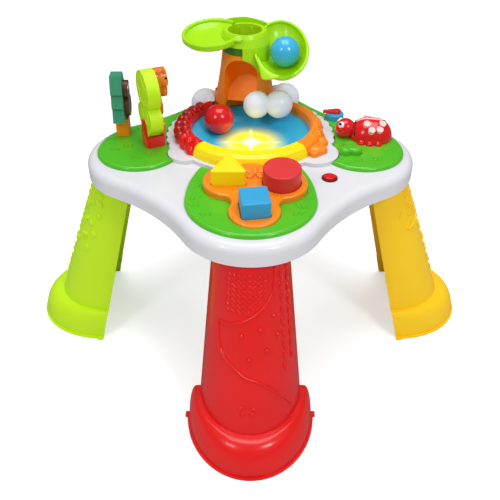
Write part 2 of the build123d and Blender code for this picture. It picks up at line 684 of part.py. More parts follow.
def leaf_chute():
    """Right leaf: a tilted trough, open at its front lip."""
    trough = Pos(0, 0, CHUTE_CUT) * (chute_egg(0) - chute_egg(CHUTE_WALL))
    size = 4 * CHUTE_HALF_LENGTH
    trough = trough - Pos(0, 0, size / 2) * Box(size, size, size)
    trough = trough - Pos(0, -CHUTE_MOUTH - size / 2, 0) * Box(size, size, size)
    place = Pos(CHUTE_CENTRE[0], CHUTE_CENTRE[1], TABLE_TOP + CHUTE_RISE)
    return place * Rot(CHUTE_TILT, 0, 0) * trough


def leaf_crest():
    """Curved wall behind the neck, on a shelf that springs from the neck."""
    place = Pos(*TOWER_CENTRE)
    wall = sector(CREST_RADIUS - CHUTE_WALL, CREST_RADIUS, *CREST_ENDS)
    shelf = sector(NECK_RADIUS - 8, CREST_RADIUS, *CREST_ENDS)
    crest = slab(place * wall, COLLAR_TOP, TABLE_TOP + CREST_RISE)
    top = Pos(TOWER_CENTRE[0], TOWER_CENTRE[1], TABLE_TOP + CREST_RISE) * Rot(0, CREST_FALL, 0)
    crest = crest - top * Pos(0, 0, 50) * Box(300, 300, 100)
    return crest + slab(place * shelf, COLLAR_TOP, COLLAR_TOP + CHUTE_WALL)


def canopy():
    """Lime tree top in one moulding: neck, sleeve, left tray and right chute."""
    neck = turned([(0, COLLAR_TOP), (NECK_RADIUS, COLLAR_TOP), (MOUTH_RADIUS + 2.5, CANOPY_TOP - 5),
                   (MOUTH_RADIUS, CANOPY_TOP), (0, CANOPY_TOP)], TOWER_CENTRE)
    sleeve = disc(NECK_RADIUS, COLLAR_TOP - SLEEVE_DROP, COLLAR_TOP, TOWER_CENTRE)
    sleeve = sleeve & block(2 * NECK_RADIUS, 3 * NECK_RADIUS, COLLAR_TOP - SLEEVE_DROP, COLLAR_TOP,
                            (TOWER_CENTRE[0] + NECK_RADIUS - 4, TOWER_CENTRE[1]))
    sleeve = sleeve - arch_prism(2)
    leaves = neck + sleeve + leaf_tray() + leaf_chute() + leaf_crest()
    leaves = leaves - disc(BORE_RADIUS, TRUNK_TOP, CANOPY_TOP + 30, TOWER_CENTRE)
    leaves = leaves - disc(COLLAR_RADIUS + TRIM_GAP, TRUNK_TOP - 1, COLLAR_TOP, TOWER_CENTRE)
    return leaves - trunk_envelope(TRIM_GAP)


def ball(place, height):
    """Hollow-looking play ball, solid here."""
    return Pos(place[0], place[1], height) * Sphere(BALL_RADIUS)


# ---------------------------------------------------------------- spinning trees
TRUNK_LOW = PLATE_TOP + 0.4
PIN_DEPTH = 6.0           # solid wood left above the spindle


def plate_from(face, foot, low, high):
    """Upright plate along Y from a (y, height) face, between two x positions."""
    return extrude(Pos(low, 0, PLATE_TOP + foot) * (Plane.YZ * face), high - low, dir=(1, 0, 0))


def lobed_figure(lobes):
    """Flat figure of overlapping circles given as (across, height, radius)."""
    face = None
    for across, height, radius in lobes:
        circle = Pos(across, height) * Circle(radius)
        face = circle if face is None else face + circle
    floor = Pos(0, -50) * Rectangle(200, 100)
    return face - floor


def pine_face():
    """Three stacked tiers, each wider at its foot: (foot, height, half foot, half top)."""
    face = None
    for foot, height, half_foot, half_top in PINE_TIERS:
        tier = make_face(Polyline((-half_foot, foot), (half_foot, foot), (half_top, foot + height),
                                  (-half_top, foot + height), close=True))
        face = tier if face is None else face + tier
    return face


def tree_place(place, turn):
    """Placement of a spinning tree."""
    return Pos(place[0], place[1], 0) * Rot(0, 0, turn)


def tree_trunk(place, turn, rise, width, depth):
    """Block that carries the tree and turns on its spindle."""
    foot = block(width, depth, TRUNK_LOW, PLATE_TOP + rise)
    foot = fillet(foot.edges().filter_by(Axis.Z), 2.5)
    bore = disc(SPINDLE_RADIUS + RUNNING_FIT, TRUNK_LOW - 1, PLATE_TOP + rise - PIN_DEPTH)
    return tree_place(place, turn) * (foot - bore)


def oak_trunk():
    """Red trunk with a fin that runs up beside the crown."""
    low, high = OAK_FACE - OAK_THICKNESS - 4, OAK_FACE - OAK_THICKNESS
    fin = make_face(Polyline((-13, 0), (13, 0), (6, OAK_RISE + 24), (-4, OAK_RISE + 24), close=True))
    fin = plate_from(fin, 0.4, low, high)
    return tree_trunk(OAK_AT, OAK_TURN, OAK_RISE, 26, 26) + tree_place(OAK_AT, OAK_TURN) * fin


def squirrel():
    """Flat squirrel beside the round tree, with a thicker head and tail."""
    low = OAK_FACE
    flat = plate_from(lobed_figure(SQUIRREL_LOBES), OAK_RISE, low, low + FIGURE_THICKNESS)
    head = plate_from(lobed_figure(SQUIRREL_HEAD), OAK_RISE, low, low + HEAD_THICKNESS)
    return tree_place(OAK_AT, OAK_TURN) * (flat + head)


def spindles():
    """Two headed pins that hold the trees to the tabletop."""
    pins = []
    for place, rise in ((PINE_AT, PINE_RISE), (OAK_AT, OAK_RISE)):
        pin = disc(SPINDLE_RADIUS, CEILING - 3, PLATE_TOP + rise - PIN_DEPTH - 0.5, place)
        pins.append(pin + disc(SPINDLE_RADIUS + 3, CEILING - 4, CEILING, place))
    return Compound(children=[pin.solid() for pin in pins])


# ---------------------------------------------------------------- ladybird
KEY_PLANE = Plane(origin=(LADYBIRD_AT[0], LADYBIRD_AT[1], PLATE_TOP + LADYBIRD_LIFT),
                  x_dir=(1, 0, 0), z_dir=KEY_AXIS)


def ladybird_key(index, radius, low, high):
    """Round key on the near wing, along the wing's own axis."""
    spot = polar(KEY_RING, KEY_ANGLES[index])
    return KEY_PLANE * Pos(spot[0], spot[1], (low + high) / 2) * Cylinder(radius, high - low)


def key_level(index):
    """Distance along the wing axis at which a key meets the shell's surface."""
    along, across = polar(KEY_RING, KEY_ANGLES[index] - LADYBIRD_TURN)
    past_end = max(abs(along) - LADYBIRD_STRETCH, 0)
    return math.sqrt(LADYBIRD_RADIUS**2 - across**2 - past_end**2)


def far_spots():
    """Fixed pale discs on the far wing, mirror images of the keys."""
    turn = math.radians(LADYBIRD_TURN)
    middle = Plane(origin=(LADYBIRD_AT[0], LADYBIRD_AT[1], 0), z_dir=(-math.sin(turn), math.cos(turn), 0))
    spots = []
    for index in range(len(KEY_ANGLES)):
        level = key_level(index)
        spots.append(mirror(ladybird_key(index, KEY_RADIUS, level - 2.2, level + 1.2), middle))
    return spots


def ladybird_body(radius):
    """Round-ended body that the ladybird's shell is cut from."""
    half, slant = LADYBIRD_STRETCH, radius * math.sqrt(0.5)
    outline = [
        ThreePointArc((-half - radius, 0), (-half - slant, slant), (-half, radius)),
        Line((-half, radius), (half, radius)),
        ThreePointArc((half, radius), (half + slant, slant), (half + radius, 0)),
        Line((half + radius, 0), (-half - radius, 0)),
    ]
    body = revolve(make_face(outline), axis=Axis.X)
    middle = Pos(LADYBIRD_AT[0], LADYBIRD_AT[1], PLATE_TOP + LADYBIRD_LIFT)
    return middle * Rot(0, 0, LADYBIRD_TURN) * body


def ladybird_feet():
    """Six small feet along the hem of the shell."""
    feet = []
    for side in (-1, 1):
        for step in (-1, 0, 1):
            at = (step * FOOT_BUMP_PITCH, side * (LADYBIRD_RADIUS - abs(step) * 2))
            middle = Pos(LADYBIRD_AT[0], LADYBIRD_AT[1], PLATE_TOP)
            feet.append(middle * Rot(0, 0, LADYBIRD_TURN) * Pos(at[0], at[1], 0) * Sphere(FOOT_BUMP))
    return feet


def ladybird_shell():
    """Red domed shell with bores for the keys and sockets for the far spots."""
    shell = ladybird_body(LADYBIRD_RADIUS)
    for foot in ladybird_feet():
        shell = shell + foot
    shell = shell - block(200, 200, PLATE_TOP - 100, PLATE_TOP, LADYBIRD_AT)
    shell = shell - ladybird_body(LADYBIRD_RADIUS - SHELL_WALL)
    for index in range(len(KEY_ANGLES)):
        shell = shell - ladybird_key(index, KEY_RADIUS + REST_GAP, 5, 60)
    for spot in far_spots():
        shell = shell - spot
    return shell


def eye_balls():
    """Two eyes let into the front of the head."""
    eyes = []
    for side in (-1, 1):
        place = (HEAD_AT[0] - 0.46 * HEAD_RADIUS, HEAD_AT[1] + side * 0.44 * HEAD_RADIUS)
        height = PLATE_TOP + HEAD_LIFT + 0.54 * HEAD_RADIUS
        eyes.append(Pos(place[0], place[1], height) * Sphere(EYE_RADIUS))
    return eyes


def ladybird_head():
    """Round head tucked against the shell."""
    head = Pos(HEAD_AT[0], HEAD_AT[1], PLATE_TOP + HEAD_LIFT) * Sphere(HEAD_RADIUS)
    head = head + disc(0.6 * HEAD_RADIUS, PLATE_TOP, PLATE_TOP + HEAD_LIFT, HEAD_AT)
    head = head - block(200, 200, PLATE_TOP - 100, PLATE_TOP, HEAD_AT)
    head = head - ladybird_body(LADYBIRD_RADIUS + TRIM_GAP)
    for eye in eye_balls():
        head = head - eye
    return head


# ---------------------------------------------------------------- buttons and keys
def bush_face(grow):
    """Three-lobed plan of the bush button."""
    face = None
    for angle in (90, 210, 330):
        lobe = Pos(*polar(BUSH_SPREAD, angle, BUSH_AT)) * Circle(BUSH_LOBE + BUSH_BLEND)
        face = lobe if face is None else face + lobe
    return offset(face, grow - BUSH_BLEND)


def bush_button():
    """Green bush that is pressed down for a sound."""
    return round_top(slab(bush_face(0), TABLE_TOP + 2, PLATE_TOP + BUSH_RISE), BUSH_ROUND)


def power_button():
    """Red on-off button with a flange under the tabletop."""
    stem = disc(POWER_RADIUS, CEILING - 3, TABLE_TOP + 4.5, POWER_AT)
    stem = round_top(stem, 1.5)
    return stem + disc(POWER_RADIUS + 2, CEILING - 5, CEILING - REST_GAP, POWER_AT)


def power_bezel():
    """White ring round the power button."""
    outer, inner = POWER_RADIUS + 3.4, POWER_RADIUS + TRIM_GAP
    return turned([(inner, TABLE_TOP), (outer, TABLE_TOP), (outer - 0.8, TABLE_TOP + 2),
                   (inner, TABLE_TOP + 2)], POWER_AT)


def selector_dial():
    """Blue round base of the selector."""
    dial = disc(SELECTOR_RADIUS, PLATE_TOP, PLATE_TOP + SELECTOR_HEIGHT, SELECTOR_AT)
    dial = round_top(dial, 1.5)
    return dial - disc(SELECTOR_PIN, PLATE_TOP - 1, PLATE_TOP + 2 * SELECTOR_HEIGHT, SELECTOR_AT)


def selector_pin():
    """Pin that the selector lever turns on."""
    high = PLATE_TOP + SELECTOR_HEIGHT + REST_GAP + LEVER_THICKNESS - LEVER_CAP
    return disc(SELECTOR_PIN, PLATE_TOP, high - REST_GAP, SELECTOR_AT)


def selector_lever():
    """Red teardrop lever: a round end drawn out to a narrow tip on the left."""
    lever = Pos(LEVER_END, 0) * Circle(LEVER_RADIUS)
    lever = lever + make_face(Polyline((-LEVER_TIP, -1.5), (LEVER_END, -LEVER_RADIUS),
                                       (LEVER_END, LEVER_RADIUS), (-LEVER_TIP, 1.5), close=True))
    low = PLATE_TOP + SELECTOR_HEIGHT + REST_GAP
    solid = slab(Pos(SELECTOR_AT[0], SELECTOR_AT[1]) * lever, low, low + LEVER_THICKNESS)
    solid = round_top(solid, 1.0)
    return solid - disc(SELECTOR_PIN + RUNNING_FIT, PLATE_TOP, low + LEVER_THICKNESS - LEVER_CAP, SELECTOR_AT)


PIANO_CENTRE = (0.0, LOBE_OFFSET)


def piano_key_face(index, grow):
    """Fan-shaped key on the back lobe."""
    middle = 90 + KEY_STEP * (2 - index)
    half = KEY_SPAN / 2
    face = sector(PIANO_INNER + 3, PIANO_OUTER - 3, middle - half, middle + half)
    face = fillet(face.vertices(), 2)
    if grow:
        face = offset(face, grow)
    return Pos(*PIANO_CENTRE) * face


def piano_frame():
    """White frame with a pocket for each key."""
    plan = Pos(*PIANO_CENTRE) * sector(PIANO_INNER, PIANO_OUTER, 90 - PIANO_SPREAD, 90 + PIANO_SPREAD)
    frame = slab(plan, PLATE_TOP, PLATE_TOP + PIANO_RISE)
    for index in range(len(KEY_NAMES)):
        frame = frame - slab(piano_key_face(index, REST_GAP), PLATE_TOP + 1, PLATE_TOP + PIANO_RISE + 1)
    return frame


def piano_key(index):
    """One piano key, standing in its pocket with room to travel."""
    low = PLATE_TOP + 1 + PIANO_TRAVEL_ROOM
    return round_top(slab(piano_key_face(index, 0), low, PLATE_TOP + PIANO_KEY_RISE), 1.2)


# ---------------------------------------------------------------- inside
def speaker():
    """Round loudspeaker over the grille: frame, cone and magnet."""
    body = turned([(0, COVER_TOP + 3), (20, COVER_TOP + 1), (SPEAKER_RADIUS, COVER_TOP),
                   (SPEAKER_RADIUS, COVER_TOP + 3), (14, COVER_TOP + 8), (14, COVER_TOP + 14),
                   (0, COVER_TOP + 14)], SPEAKER_AT)
    return body


def main_board():
    """Circuit board with its chip and the switch under the power button."""
    low = COVER_TOP + BOARD_LIFT
    board = block(BOARD_SIZE[0], BOARD_SIZE[1], low, low + 1.6, BOARD_AT)
    board = board + block(14, 14, low + 1.6, low + 3.2, (BOARD_AT[0] - 10, BOARD_AT[1] + 10))
    switch_top = CEILING - 5 - 1.5 - REST_GAP
    return board + block(6, 6, low + 1.6, switch_top, POWER_AT)


def led_board():
    """Small board with the yellow lamp under the bowl."""
    low = COVER_TOP + BOARD_LIFT
    board = block(34, 14, low, low + 1.6, LED_AT)
    lamp = disc(4, low + 1.6, BOWL_FLOOR - BOWL_WALL - 4.5, LED_AT)
    dome = Pos(LED_AT[0], LED_AT[1], BOWL_FLOOR - BOWL_WALL - 4.5) * Sphere(4)
    return board + lamp + dome


CELL_COUNT = 3
BOX_INNER = (CELL_COUNT * CELL_PITCH + 1.0, CELL_LENGTH + 2.0)
BOX_WALL = 1.8
BOX_OUTER = (BOX_INNER[0] + 2 * BOX_WALL, BOX_INNER[1] + 2 * BOX_WALL)
DOOR_SIZE = BOX_INNER
DOOR_TOP = COVER_TOP - 0.4


def battery_box():
    """Upside-down tray for three cells, closed by the door."""
    roof = COVER_TOP + 2 * CELL_RADIUS + 1.2
    outside = block(BOX_OUTER[0], BOX_OUTER[1], COVER_TOP, roof + BOX_WALL, BATTERY_AT)
    return outside - block(BOX_INNER[0], BOX_INNER[1], COVER_TOP - 1, roof, BATTERY_AT)


def batteries():
    """Three AA cells side by side."""
    cells = []
    for step in range(CELL_COUNT):
        x = BATTERY_AT[0] + (step - (CELL_COUNT - 1) / 2) * CELL_PITCH
        middle = COVER_TOP + 0.4 + CELL_RADIUS
        cell = Pos(x, BATTERY_AT[1], middle) * Rot(90, 0, 0) * Cylinder(CELL_RADIUS, CELL_LENGTH)
        cells.append(cell.solid())
    return Compound(children=cells)


def battery_door():
    """Hatch in the base cover, hinged on its left edge."""
    door = block(DOOR_SIZE[0], DOOR_SIZE[1], COVER_BOTTOM, DOOR_TOP, BATTERY_AT)
    return door - disc(SCREW_RADIUS + 0.1, COVER_BOTTOM - 1, DOOR_TOP + 1, door_screw_place())


def door_screw_place():
    """Plan position of the screw near the hatch's free edge."""
    return (BATTERY_AT[0] + DOOR_SIZE[0] / 2 - 6, BATTERY_AT[1])


def door_screw():
    """Captive screw of the battery hatch."""
    place = door_screw_place()
    return disc(SCREW_RADIUS, COVER_BOTTOM, DOOR_TOP, place) + disc(3, COVER_BOTTOM - 0.9, COVER_BOTTOM, place)


def base_screws():
    """Countersunk screws that hold the base cover to the bosses."""
    screws = []
    for place in screw_places():
        head = disc(2 * SCREW_RADIUS, COVER_BOTTOM + 0.1, COVER_BOTTOM + 1.5, place)
        shank = disc(SCREW_RADIUS, COVER_BOTTOM + 1, COVER_TOP + 10, place)
        screws.append((head + shank).solid())
    return Compound(children=screws)


# ---------------------------------------------------------------- write every piece
save("tabletop_shell", tabletop_shell())
save("base_cover", base_cover())
one_leg = leg()
for name, angle in (("front", -90), ("left", 180), ("right", 0), ("back", 90)):
    placed = Rot(0, 0, angle) * one_leg
    for place in (PINE_AT, OAK_AT):
        placed = placed - disc(SPINDLE_RADIUS + 3.5, CEILING - 4.5, CEILING, place)
    save("leg_" + name, placed)
save("front_island", front_island())
save("meadow_plate", meadow_plate())
save("sorter_plate", sorter_plate())
for name in sorter_shapes():
    save(name, sorter_block(name))
save("bowl", bowl())
save("cloud_skirt", cloud_skirt())
for colour in RING_ENDS:
    save("ring_" + colour, ring_arc(colour))
save("cloud_front", cloud_group(FRONT_CLOUDS))
for name, lump in zip(("left", "right"), REAR_CLOUDS):
    save("cloud_" + name, rear_cloud(lump))
save("trunk", trunk())
save("canopy_collar", canopy_collar())
save("canopy", canopy())
save("ball_red", ball(RED_BALL_AT, BOWL_FLOOR + BALL_RADIUS + REST_GAP))
save("ball_blue", ball(BLUE_BALL_AT, TABLE_TOP + BLUE_BALL_RISE))
pine = tree_place(PINE_AT, PINE_TURN)
save("pine_crown", pine * plate_from(pine_face(), PINE_RISE, PINE_FACE - PINE_THICKNESS, PINE_FACE))
save("pine_trunk", tree_trunk(PINE_AT, PINE_TURN, PINE_RISE, 21, 22))
save("pine_owl", pine * plate_from(lobed_figure(OWL_LOBES), PINE_RISE, PINE_FACE,
                                   PINE_FACE + FIGURE_THICKNESS))
oak = tree_place(OAK_AT, OAK_TURN)
save("oak_crown", oak * plate_from(lobed_figure(OAK_LOBES), OAK_RISE, OAK_FACE - OAK_THICKNESS, OAK_FACE))
save("oak_trunk", oak_trunk())
save("oak_squirrel", squirrel())
save("tree_spindles", spindles())
save("ladybird_shell", ladybird_shell())
save("ladybird_head", ladybird_head())
save("ladybird_eyes", Compound(children=[eye.solid() for eye in eye_balls()]))
save("ladybird_spots", Compound(children=[spot.solid() for spot in far_spots()]))
for index in range(len(KEY_ANGLES)):
    save("ladybird_key_" + str(index + 1),
         ladybird_key(index, KEY_RADIUS, key_level(index) + KEY_PROUD - KEY_LENGTH, key_level(index) + KEY_PROUD))
save("bush_button", bush_button())
save("power_button", power_button())
save("power_bezel", power_bezel())
save("selector_dial", selector_dial())
save("selector_pin", selector_pin())
save("selector_lever", selector_lever())
save("piano_frame", piano_frame())
for index, colour in enumerate(KEY_NAMES):
    save("piano_key_" + colour, piano_key(index))
save("speaker", speaker())
save("main_board", main_board())
save("led_board", led_board())
save("battery_box", battery_box())
save("batteries", batteries())
save("battery_door", battery_door())
save("battery_door_screw", door_screw())
save("base_screws", base_screws())
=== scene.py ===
# %% [markdown]
# # A musical activity table for a toddler
# A white table top with four lobes stands on four hollow legs. Each lobe is one place
# to play: a shape sorter in front, toy trees on the left, a ladybird on the right and a
# small piano at the back. A lit bowl, a ring of three colours and a ball tower fill the
# middle.
#
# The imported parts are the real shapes, and they stay where they are. What is left for
# Blender is the plastic of each part, the small moulded relief, and a plain studio.
# Lengths are in metres: +Z is up, -Y is the side with the shape sorter, and +X is the
# side with the ladybird.

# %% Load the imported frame
import math

import bpy
import numpy as np
from mathutils import Euler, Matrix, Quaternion


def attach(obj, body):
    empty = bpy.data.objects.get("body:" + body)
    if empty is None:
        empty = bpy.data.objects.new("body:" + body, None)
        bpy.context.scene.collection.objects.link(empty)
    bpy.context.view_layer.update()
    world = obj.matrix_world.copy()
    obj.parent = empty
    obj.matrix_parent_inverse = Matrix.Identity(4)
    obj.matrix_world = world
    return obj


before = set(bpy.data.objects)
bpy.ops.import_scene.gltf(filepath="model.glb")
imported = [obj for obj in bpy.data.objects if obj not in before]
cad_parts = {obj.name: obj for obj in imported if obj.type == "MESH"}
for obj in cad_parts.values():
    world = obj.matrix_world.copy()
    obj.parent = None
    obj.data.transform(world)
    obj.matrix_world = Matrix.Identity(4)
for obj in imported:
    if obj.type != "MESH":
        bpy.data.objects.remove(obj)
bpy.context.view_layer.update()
print("nodes:", len(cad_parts))

# %% [markdown]
# ## Shader groups
# All plastics on the table share one kind of surface, and the parts near the lamp share
# its glow. Both could be built again in every material, but then thirty copies would
# have to be kept alike. A node group is built once and placed in each material with its
# own values. Three helpers make groups, nodes and links.

# %% Helpers for node trees
SOCKET_KINDS = {"float": "NodeSocketFloat", "colour": "NodeSocketColor",
                "vector": "NodeSocketVector"}


def new_group(name, inputs, outputs):
    """Empty shader group. Inputs are (label, kind, default), outputs are (label, kind)."""
    tree = bpy.data.node_groups.new(name, "ShaderNodeTree")
    for label, kind, value in inputs:
        socket = tree.interface.new_socket(
            name=label, in_out="INPUT", socket_type=SOCKET_KINDS[kind])
        if value is not None:
            socket.default_value = value
    for label, kind in outputs:
        tree.interface.new_socket(
            name=label, in_out="OUTPUT", socket_type=SOCKET_KINDS[kind])
    return tree, tree.nodes.new("NodeGroupInput"), tree.nodes.new("NodeGroupOutput")


def add(tree, kind, sockets=None, **values):
    """New shader node. A value sets the node's own setting of that name, or else its
    socket; sockets without a name of their own are given as {number: value}."""
    node = tree.nodes.new("ShaderNode" + kind)
    for key, value in values.items():
        if hasattr(node, key):
            setattr(node, key, value)
        else:
            node.inputs[key.replace("_", " ")].default_value = value
    for number, value in (sockets or {}).items():
        node.inputs[number].default_value = value
    return node


def link(tree, *wires):
    """Links, each written as (from node, its output, to node, its input)."""
    for source, output, target, entry in wires:
        tree.links.new(source.outputs[output], target.inputs[entry])


print("socket kinds:", sorted(SOCKET_KINDS))

# %% [markdown]
# ## The grain of a moulded surface
# A moulded part looks even from afar. Close up, its colour drifts a little and the
# texture of the mould breaks the gloss. An image could be wrapped round each part, but
# noise on Object coordinates needs no unwrapping and has the same scale on every part.
# A coarse noise mixes in a deeper shade, and a fine one moves the roughness and bends
# the light.

# %% Shader group: moulded grain
GRAIN_SWING = 0.08      # how much rougher the tops of the fine noise are than its dips

grain, grain_in, grain_out = new_group(
    "moulded_grain",
    [("Colour", "colour", None), ("Shade", "colour", None),
     ("Roughness", "float", 0.3), ("Depth", "float", 0.00002)],
    [("Colour", "colour"), ("Roughness", "float"), ("Normal", "vector")])
place = add(grain, "TexCoord")
cloudy = add(grain, "TexNoise", Scale=9.0, Detail=3.0, Roughness=0.5)
fine = add(grain, "TexNoise", Scale=900.0, Detail=2.0, Roughness=0.6)
blotch = add(grain, "MapRange", From_Min=0.35, From_Max=0.7, To_Min=0.0, To_Max=0.55)
tint = add(grain, "Mix", data_type="RGBA")
satin = add(grain, "Math", {1: GRAIN_SWING}, operation="MULTIPLY_ADD")
skin = add(grain, "Bump", Strength=0.35)
link(grain,
     (place, "Object", cloudy, "Vector"), (place, "Object", fine, "Vector"),
     (cloudy, "Fac", blotch, "Value"), (blotch, "Result", tint, 0),
     (grain_in, "Colour", tint, 6), (grain_in, "Shade", tint, 7),
     (fine, "Fac", satin, 0), (grain_in, "Roughness", satin, 2),
     (fine, "Fac", skin, "Height"), (grain_in, "Depth", skin, "Distance"),
     (tint, 2, grain_out, "Colour"), (satin, 0, grain_out, "Roughness"),
     (skin, "Normal", grain_out, "Normal"))
print("grain group sockets:", [socket.name for socket in grain_out.inputs if socket.name])

# %% [markdown]
# ## The glow of the lamp
# A small yellow lamp shines through the floor of the bowl. A real light under it would
# need a see-through bowl, and it would be lost when the model leaves Blender. Instead
# the plastics near the lamp give out light themselves. Nearness is one minus the
# distance over the reach. The light grows as a power of it, from olive through yellow
# to nearly white.

# %% Shader group: lamp glow
LAMP_AT = (0.001, 0.042, 0.3085)
GLOW_POWER = 1.6        # a higher power draws the glow in towards the lamp
COVER_GAIN = 1.7        # how far out the glow hides the plastic's own colour

lamp, lamp_in, lamp_out = new_group(
    "lamp_glow", [("Reach", "float", 0.07)], [("Light", "colour"), ("Cover", "float")])
place = add(lamp, "TexCoord")
distance = add(lamp, "VectorMath", {1: LAMP_AT}, operation="DISTANCE")
ratio = add(lamp, "Math", operation="DIVIDE")
nearness = add(lamp, "Math", {0: 1.0}, operation="SUBTRACT", use_clamp=True)
strength = add(lamp, "Math", {1: GLOW_POWER}, operation="POWER")
hue = add(lamp, "ValToRGB")
dim_end, bright_end = hue.color_ramp.elements
dim_end.position, dim_end.color = 0.0, (0.80, 0.66, 0.0, 1)
bright_end.position, bright_end.color = 0.90, (1.0, 1.0, 0.85, 1)
hue.color_ramp.elements.new(0.72).color = (1.0, 0.92, 0.05, 1)
light = add(lamp, "VectorMath", operation="SCALE")
cover = add(lamp, "Math", {1: COVER_GAIN}, operation="MULTIPLY", use_clamp=True)
link(lamp,
     (place, "Object", distance, 0), (distance, "Value", ratio, 0), (lamp_in, "Reach", ratio, 1),
     (ratio, 0, nearness, 1), (nearness, 0, strength, 0), (nearness, 0, hue, "Fac"),
     (hue, "Color", light, 0), (strength, 0, light, "Scale"),
     (nearness, 0, cover, 0), (cover, 0, lamp_out, "Cover"))
print("lamp at", LAMP_AT)

# %% [markdown]
# ## The star over the lamp
# Four thin rays stand out from the lamp. They could be flat pieces, but light has no
# thickness, so the same group paints them. Along its own direction a ray fades over its
# length, across it within its width, and the two shares are multiplied. The star is the
# sum of the rays along X and along Y.

# %% Shader group: rays of the lamp
RAY_LENGTH, RAY_WIDTH = 0.052, 0.0035
RAY_COLOUR = (1.1, 1.0, 0.75)

offset = add(lamp, "VectorMath", {1: LAMP_AT}, operation="SUBTRACT")
away = add(lamp, "VectorMath", operation="ABSOLUTE")
split = add(lamp, "SeparateXYZ")
star = add(lamp, "Math", operation="ADD")
with_star = add(lamp, "VectorMath", {1: RAY_COLOUR}, operation="MULTIPLY_ADD")
for entry, (long_way, short_way) in enumerate((("X", "Y"), ("Y", "X"))):
    far = add(lamp, "MapRange", From_Min=0.0, From_Max=RAY_LENGTH, To_Min=1.0, To_Max=0.0)
    thin = add(lamp, "MapRange", From_Min=0.0, From_Max=RAY_WIDTH, To_Min=1.0, To_Max=0.0)
    ray = add(lamp, "Math", operation="MULTIPLY")
    link(lamp, (split, long_way, far, "Value"), (split, short_way, thin, "Value"),
         (far, "Result", ray, 0), (thin, "Result", ray, 1), (ray, 0, star, entry))
link(lamp,
     (place, "Object", offset, 0), (offset, 0, away, 0), (away, 0, split, 0),
     (star, 0, with_star, 0), (light, 0, with_star, 2), (with_star, 0, lamp_out, "Light"))
print("nodes in the lamp group:", len(lamp.nodes))

# %% [markdown]
# ## Plastics
# Toy plastic is a clear colour under a soft gloss. It could be one shader with only the
# colour changed, but the real parts differ in gloss as well: the table and the red leg
# shine, while the side legs and the blocks are satin. So `plastic` takes a colour, a
# deeper shade for the grain, a roughness and a coat. The bowl, the lens and the yellow
# part of the ring also take the lamp's glow, each with its own strength and reach.

# %% One plastic
UNDER_GLOW = (0.92, 0.74, 0.0, 1)       # colour of a plastic that the glow covers


def plastic(name, colour, shade, rough, coat=0.2, depth=0.00002, glow=None):
    """Material of one moulded plastic. The grain adds up to GRAIN_SWING to the roughness,
    so half of that is taken off first. Glow is the lamp's (strength, reach) in it."""
    material = bpy.data.materials.new(name)
    material.use_nodes = True
    tree = material.node_tree
    tree.nodes.clear()
    surface = add(tree, "BsdfPrincipled", IOR=1.48, Coat_Weight=coat,
                  Coat_Roughness=0.12, Specular_IOR_Level=0.4)
    out = add(tree, "OutputMaterial")
    look = add(tree, "Group", node_tree=grain, Colour=(*colour, 1),
               Shade=(*shade, 1), Roughness=rough - GRAIN_SWING / 2, Depth=depth)
    link(tree, (look, "Colour", surface, "Base Color"), (look, "Roughness", surface, "Roughness"),
         (look, "Normal", surface, "Normal"), (surface, 0, out, 0))
    if glow:
        strength, reach = glow
        surface.inputs["Emission Strength"].default_value = strength
        shine = add(tree, "Group", node_tree=lamp, Reach=reach)
        lit = add(tree, "Mix", {7: UNDER_GLOW}, data_type="RGBA")
        link(tree, (shine, "Cover", lit, 0), (look, "Colour", lit, 6),
             (lit, 2, surface, "Base Color"), (shine, "Light", surface, "Emission Color"))
    return material


print("a plastic under the full glow:", UNDER_GLOW)

# %% [markdown]
# ## The colours of the toy
# A toy is moulded from a few batches of coloured plastic. Each part could have its own
# material, but named batches keep those parts alike that are alike on the real table.
# Each line gives the colour, the shade, the roughness, and the coat if it isn't 0.2.

# %% Plastics of the table, the legs and the plates
white = plastic("white body plastic", (0.70, 0.70, 0.74), (0.66, 0.66, 0.71), 0.33, 0.3)
red = plastic("red plastic", (0.78, 0.008, 0.008), (0.69, 0.004, 0.004), 0.3, 0.3)
lime = plastic("lime plastic", (0.54, 0.84, 0.001), (0.48, 0.78, 0.001), 0.5, 0.0)
golden = plastic("golden plastic", (0.97, 0.61, 0.001), (0.92, 0.56, 0.001), 0.5, 0.0)
blue_leg = plastic("deep blue plastic", (0.02, 0.26, 0.62), (0.015, 0.22, 0.55), 0.33)
green = plastic("meadow green", (0.085, 0.50, 0.014), (0.065, 0.42, 0.010), 0.3, 0.4)
orange = plastic("orange plastic", (0.93, 0.26, 0.008), (0.86, 0.21, 0.005), 0.3, 0.3)
block_red = plastic("block red", (0.68, 0.03, 0.03), (0.60, 0.022, 0.022), 0.42, 0.1)
block_yellow = plastic("block yellow", (0.96, 0.72, 0.0), (0.92, 0.66, 0.0), 0.4, 0.1)
sky = plastic("sky blue", (0.03, 0.34, 0.62), (0.022, 0.29, 0.55), 0.38, 0.15)
print("materials:", len(bpy.data.materials))

# %% Plastics of the bowl, the ring and the tower
bowl_blue = plastic("bowl blue", (0.035, 0.49, 0.80), (0.028, 0.44, 0.74), 0.3, 0.3,
                    glow=(1.6, 0.061))
lens = plastic("lamp lens", (0.95, 0.90, 0.45), (0.92, 0.86, 0.36), 0.2, 0.6,
               depth=0.00001, glow=(1.6, 0.061))
yellow = plastic("ring yellow", (0.96, 0.74, 0.0), (0.92, 0.68, 0.0), 0.32, 0.25,
                 glow=(0.5, 0.12))
# The fruit is darker than the ring's own red: painted shade among the crowded fruit.
shaded_berry_red = plastic("berry red with painted shade", (0.50, 0.008, 0.008), (0.36, 0.004, 0.004), 0.26, 0.4)
cloud_white = plastic("cloud white", (0.83, 0.85, 0.97), (0.79, 0.82, 0.95), 0.28)
trunk_orange = plastic("trunk orange", (0.96, 0.27, 0.0), (0.90, 0.22, 0.0), 0.5, 0.0)
# The collar's deep green, much darker than the leaf lime, is painted shade from the left tray above
# it.
collar_green_shaded = plastic("collar green with painted shade", (0.05, 0.22, 0.015), (0.04, 0.17, 0.012), 0.35)
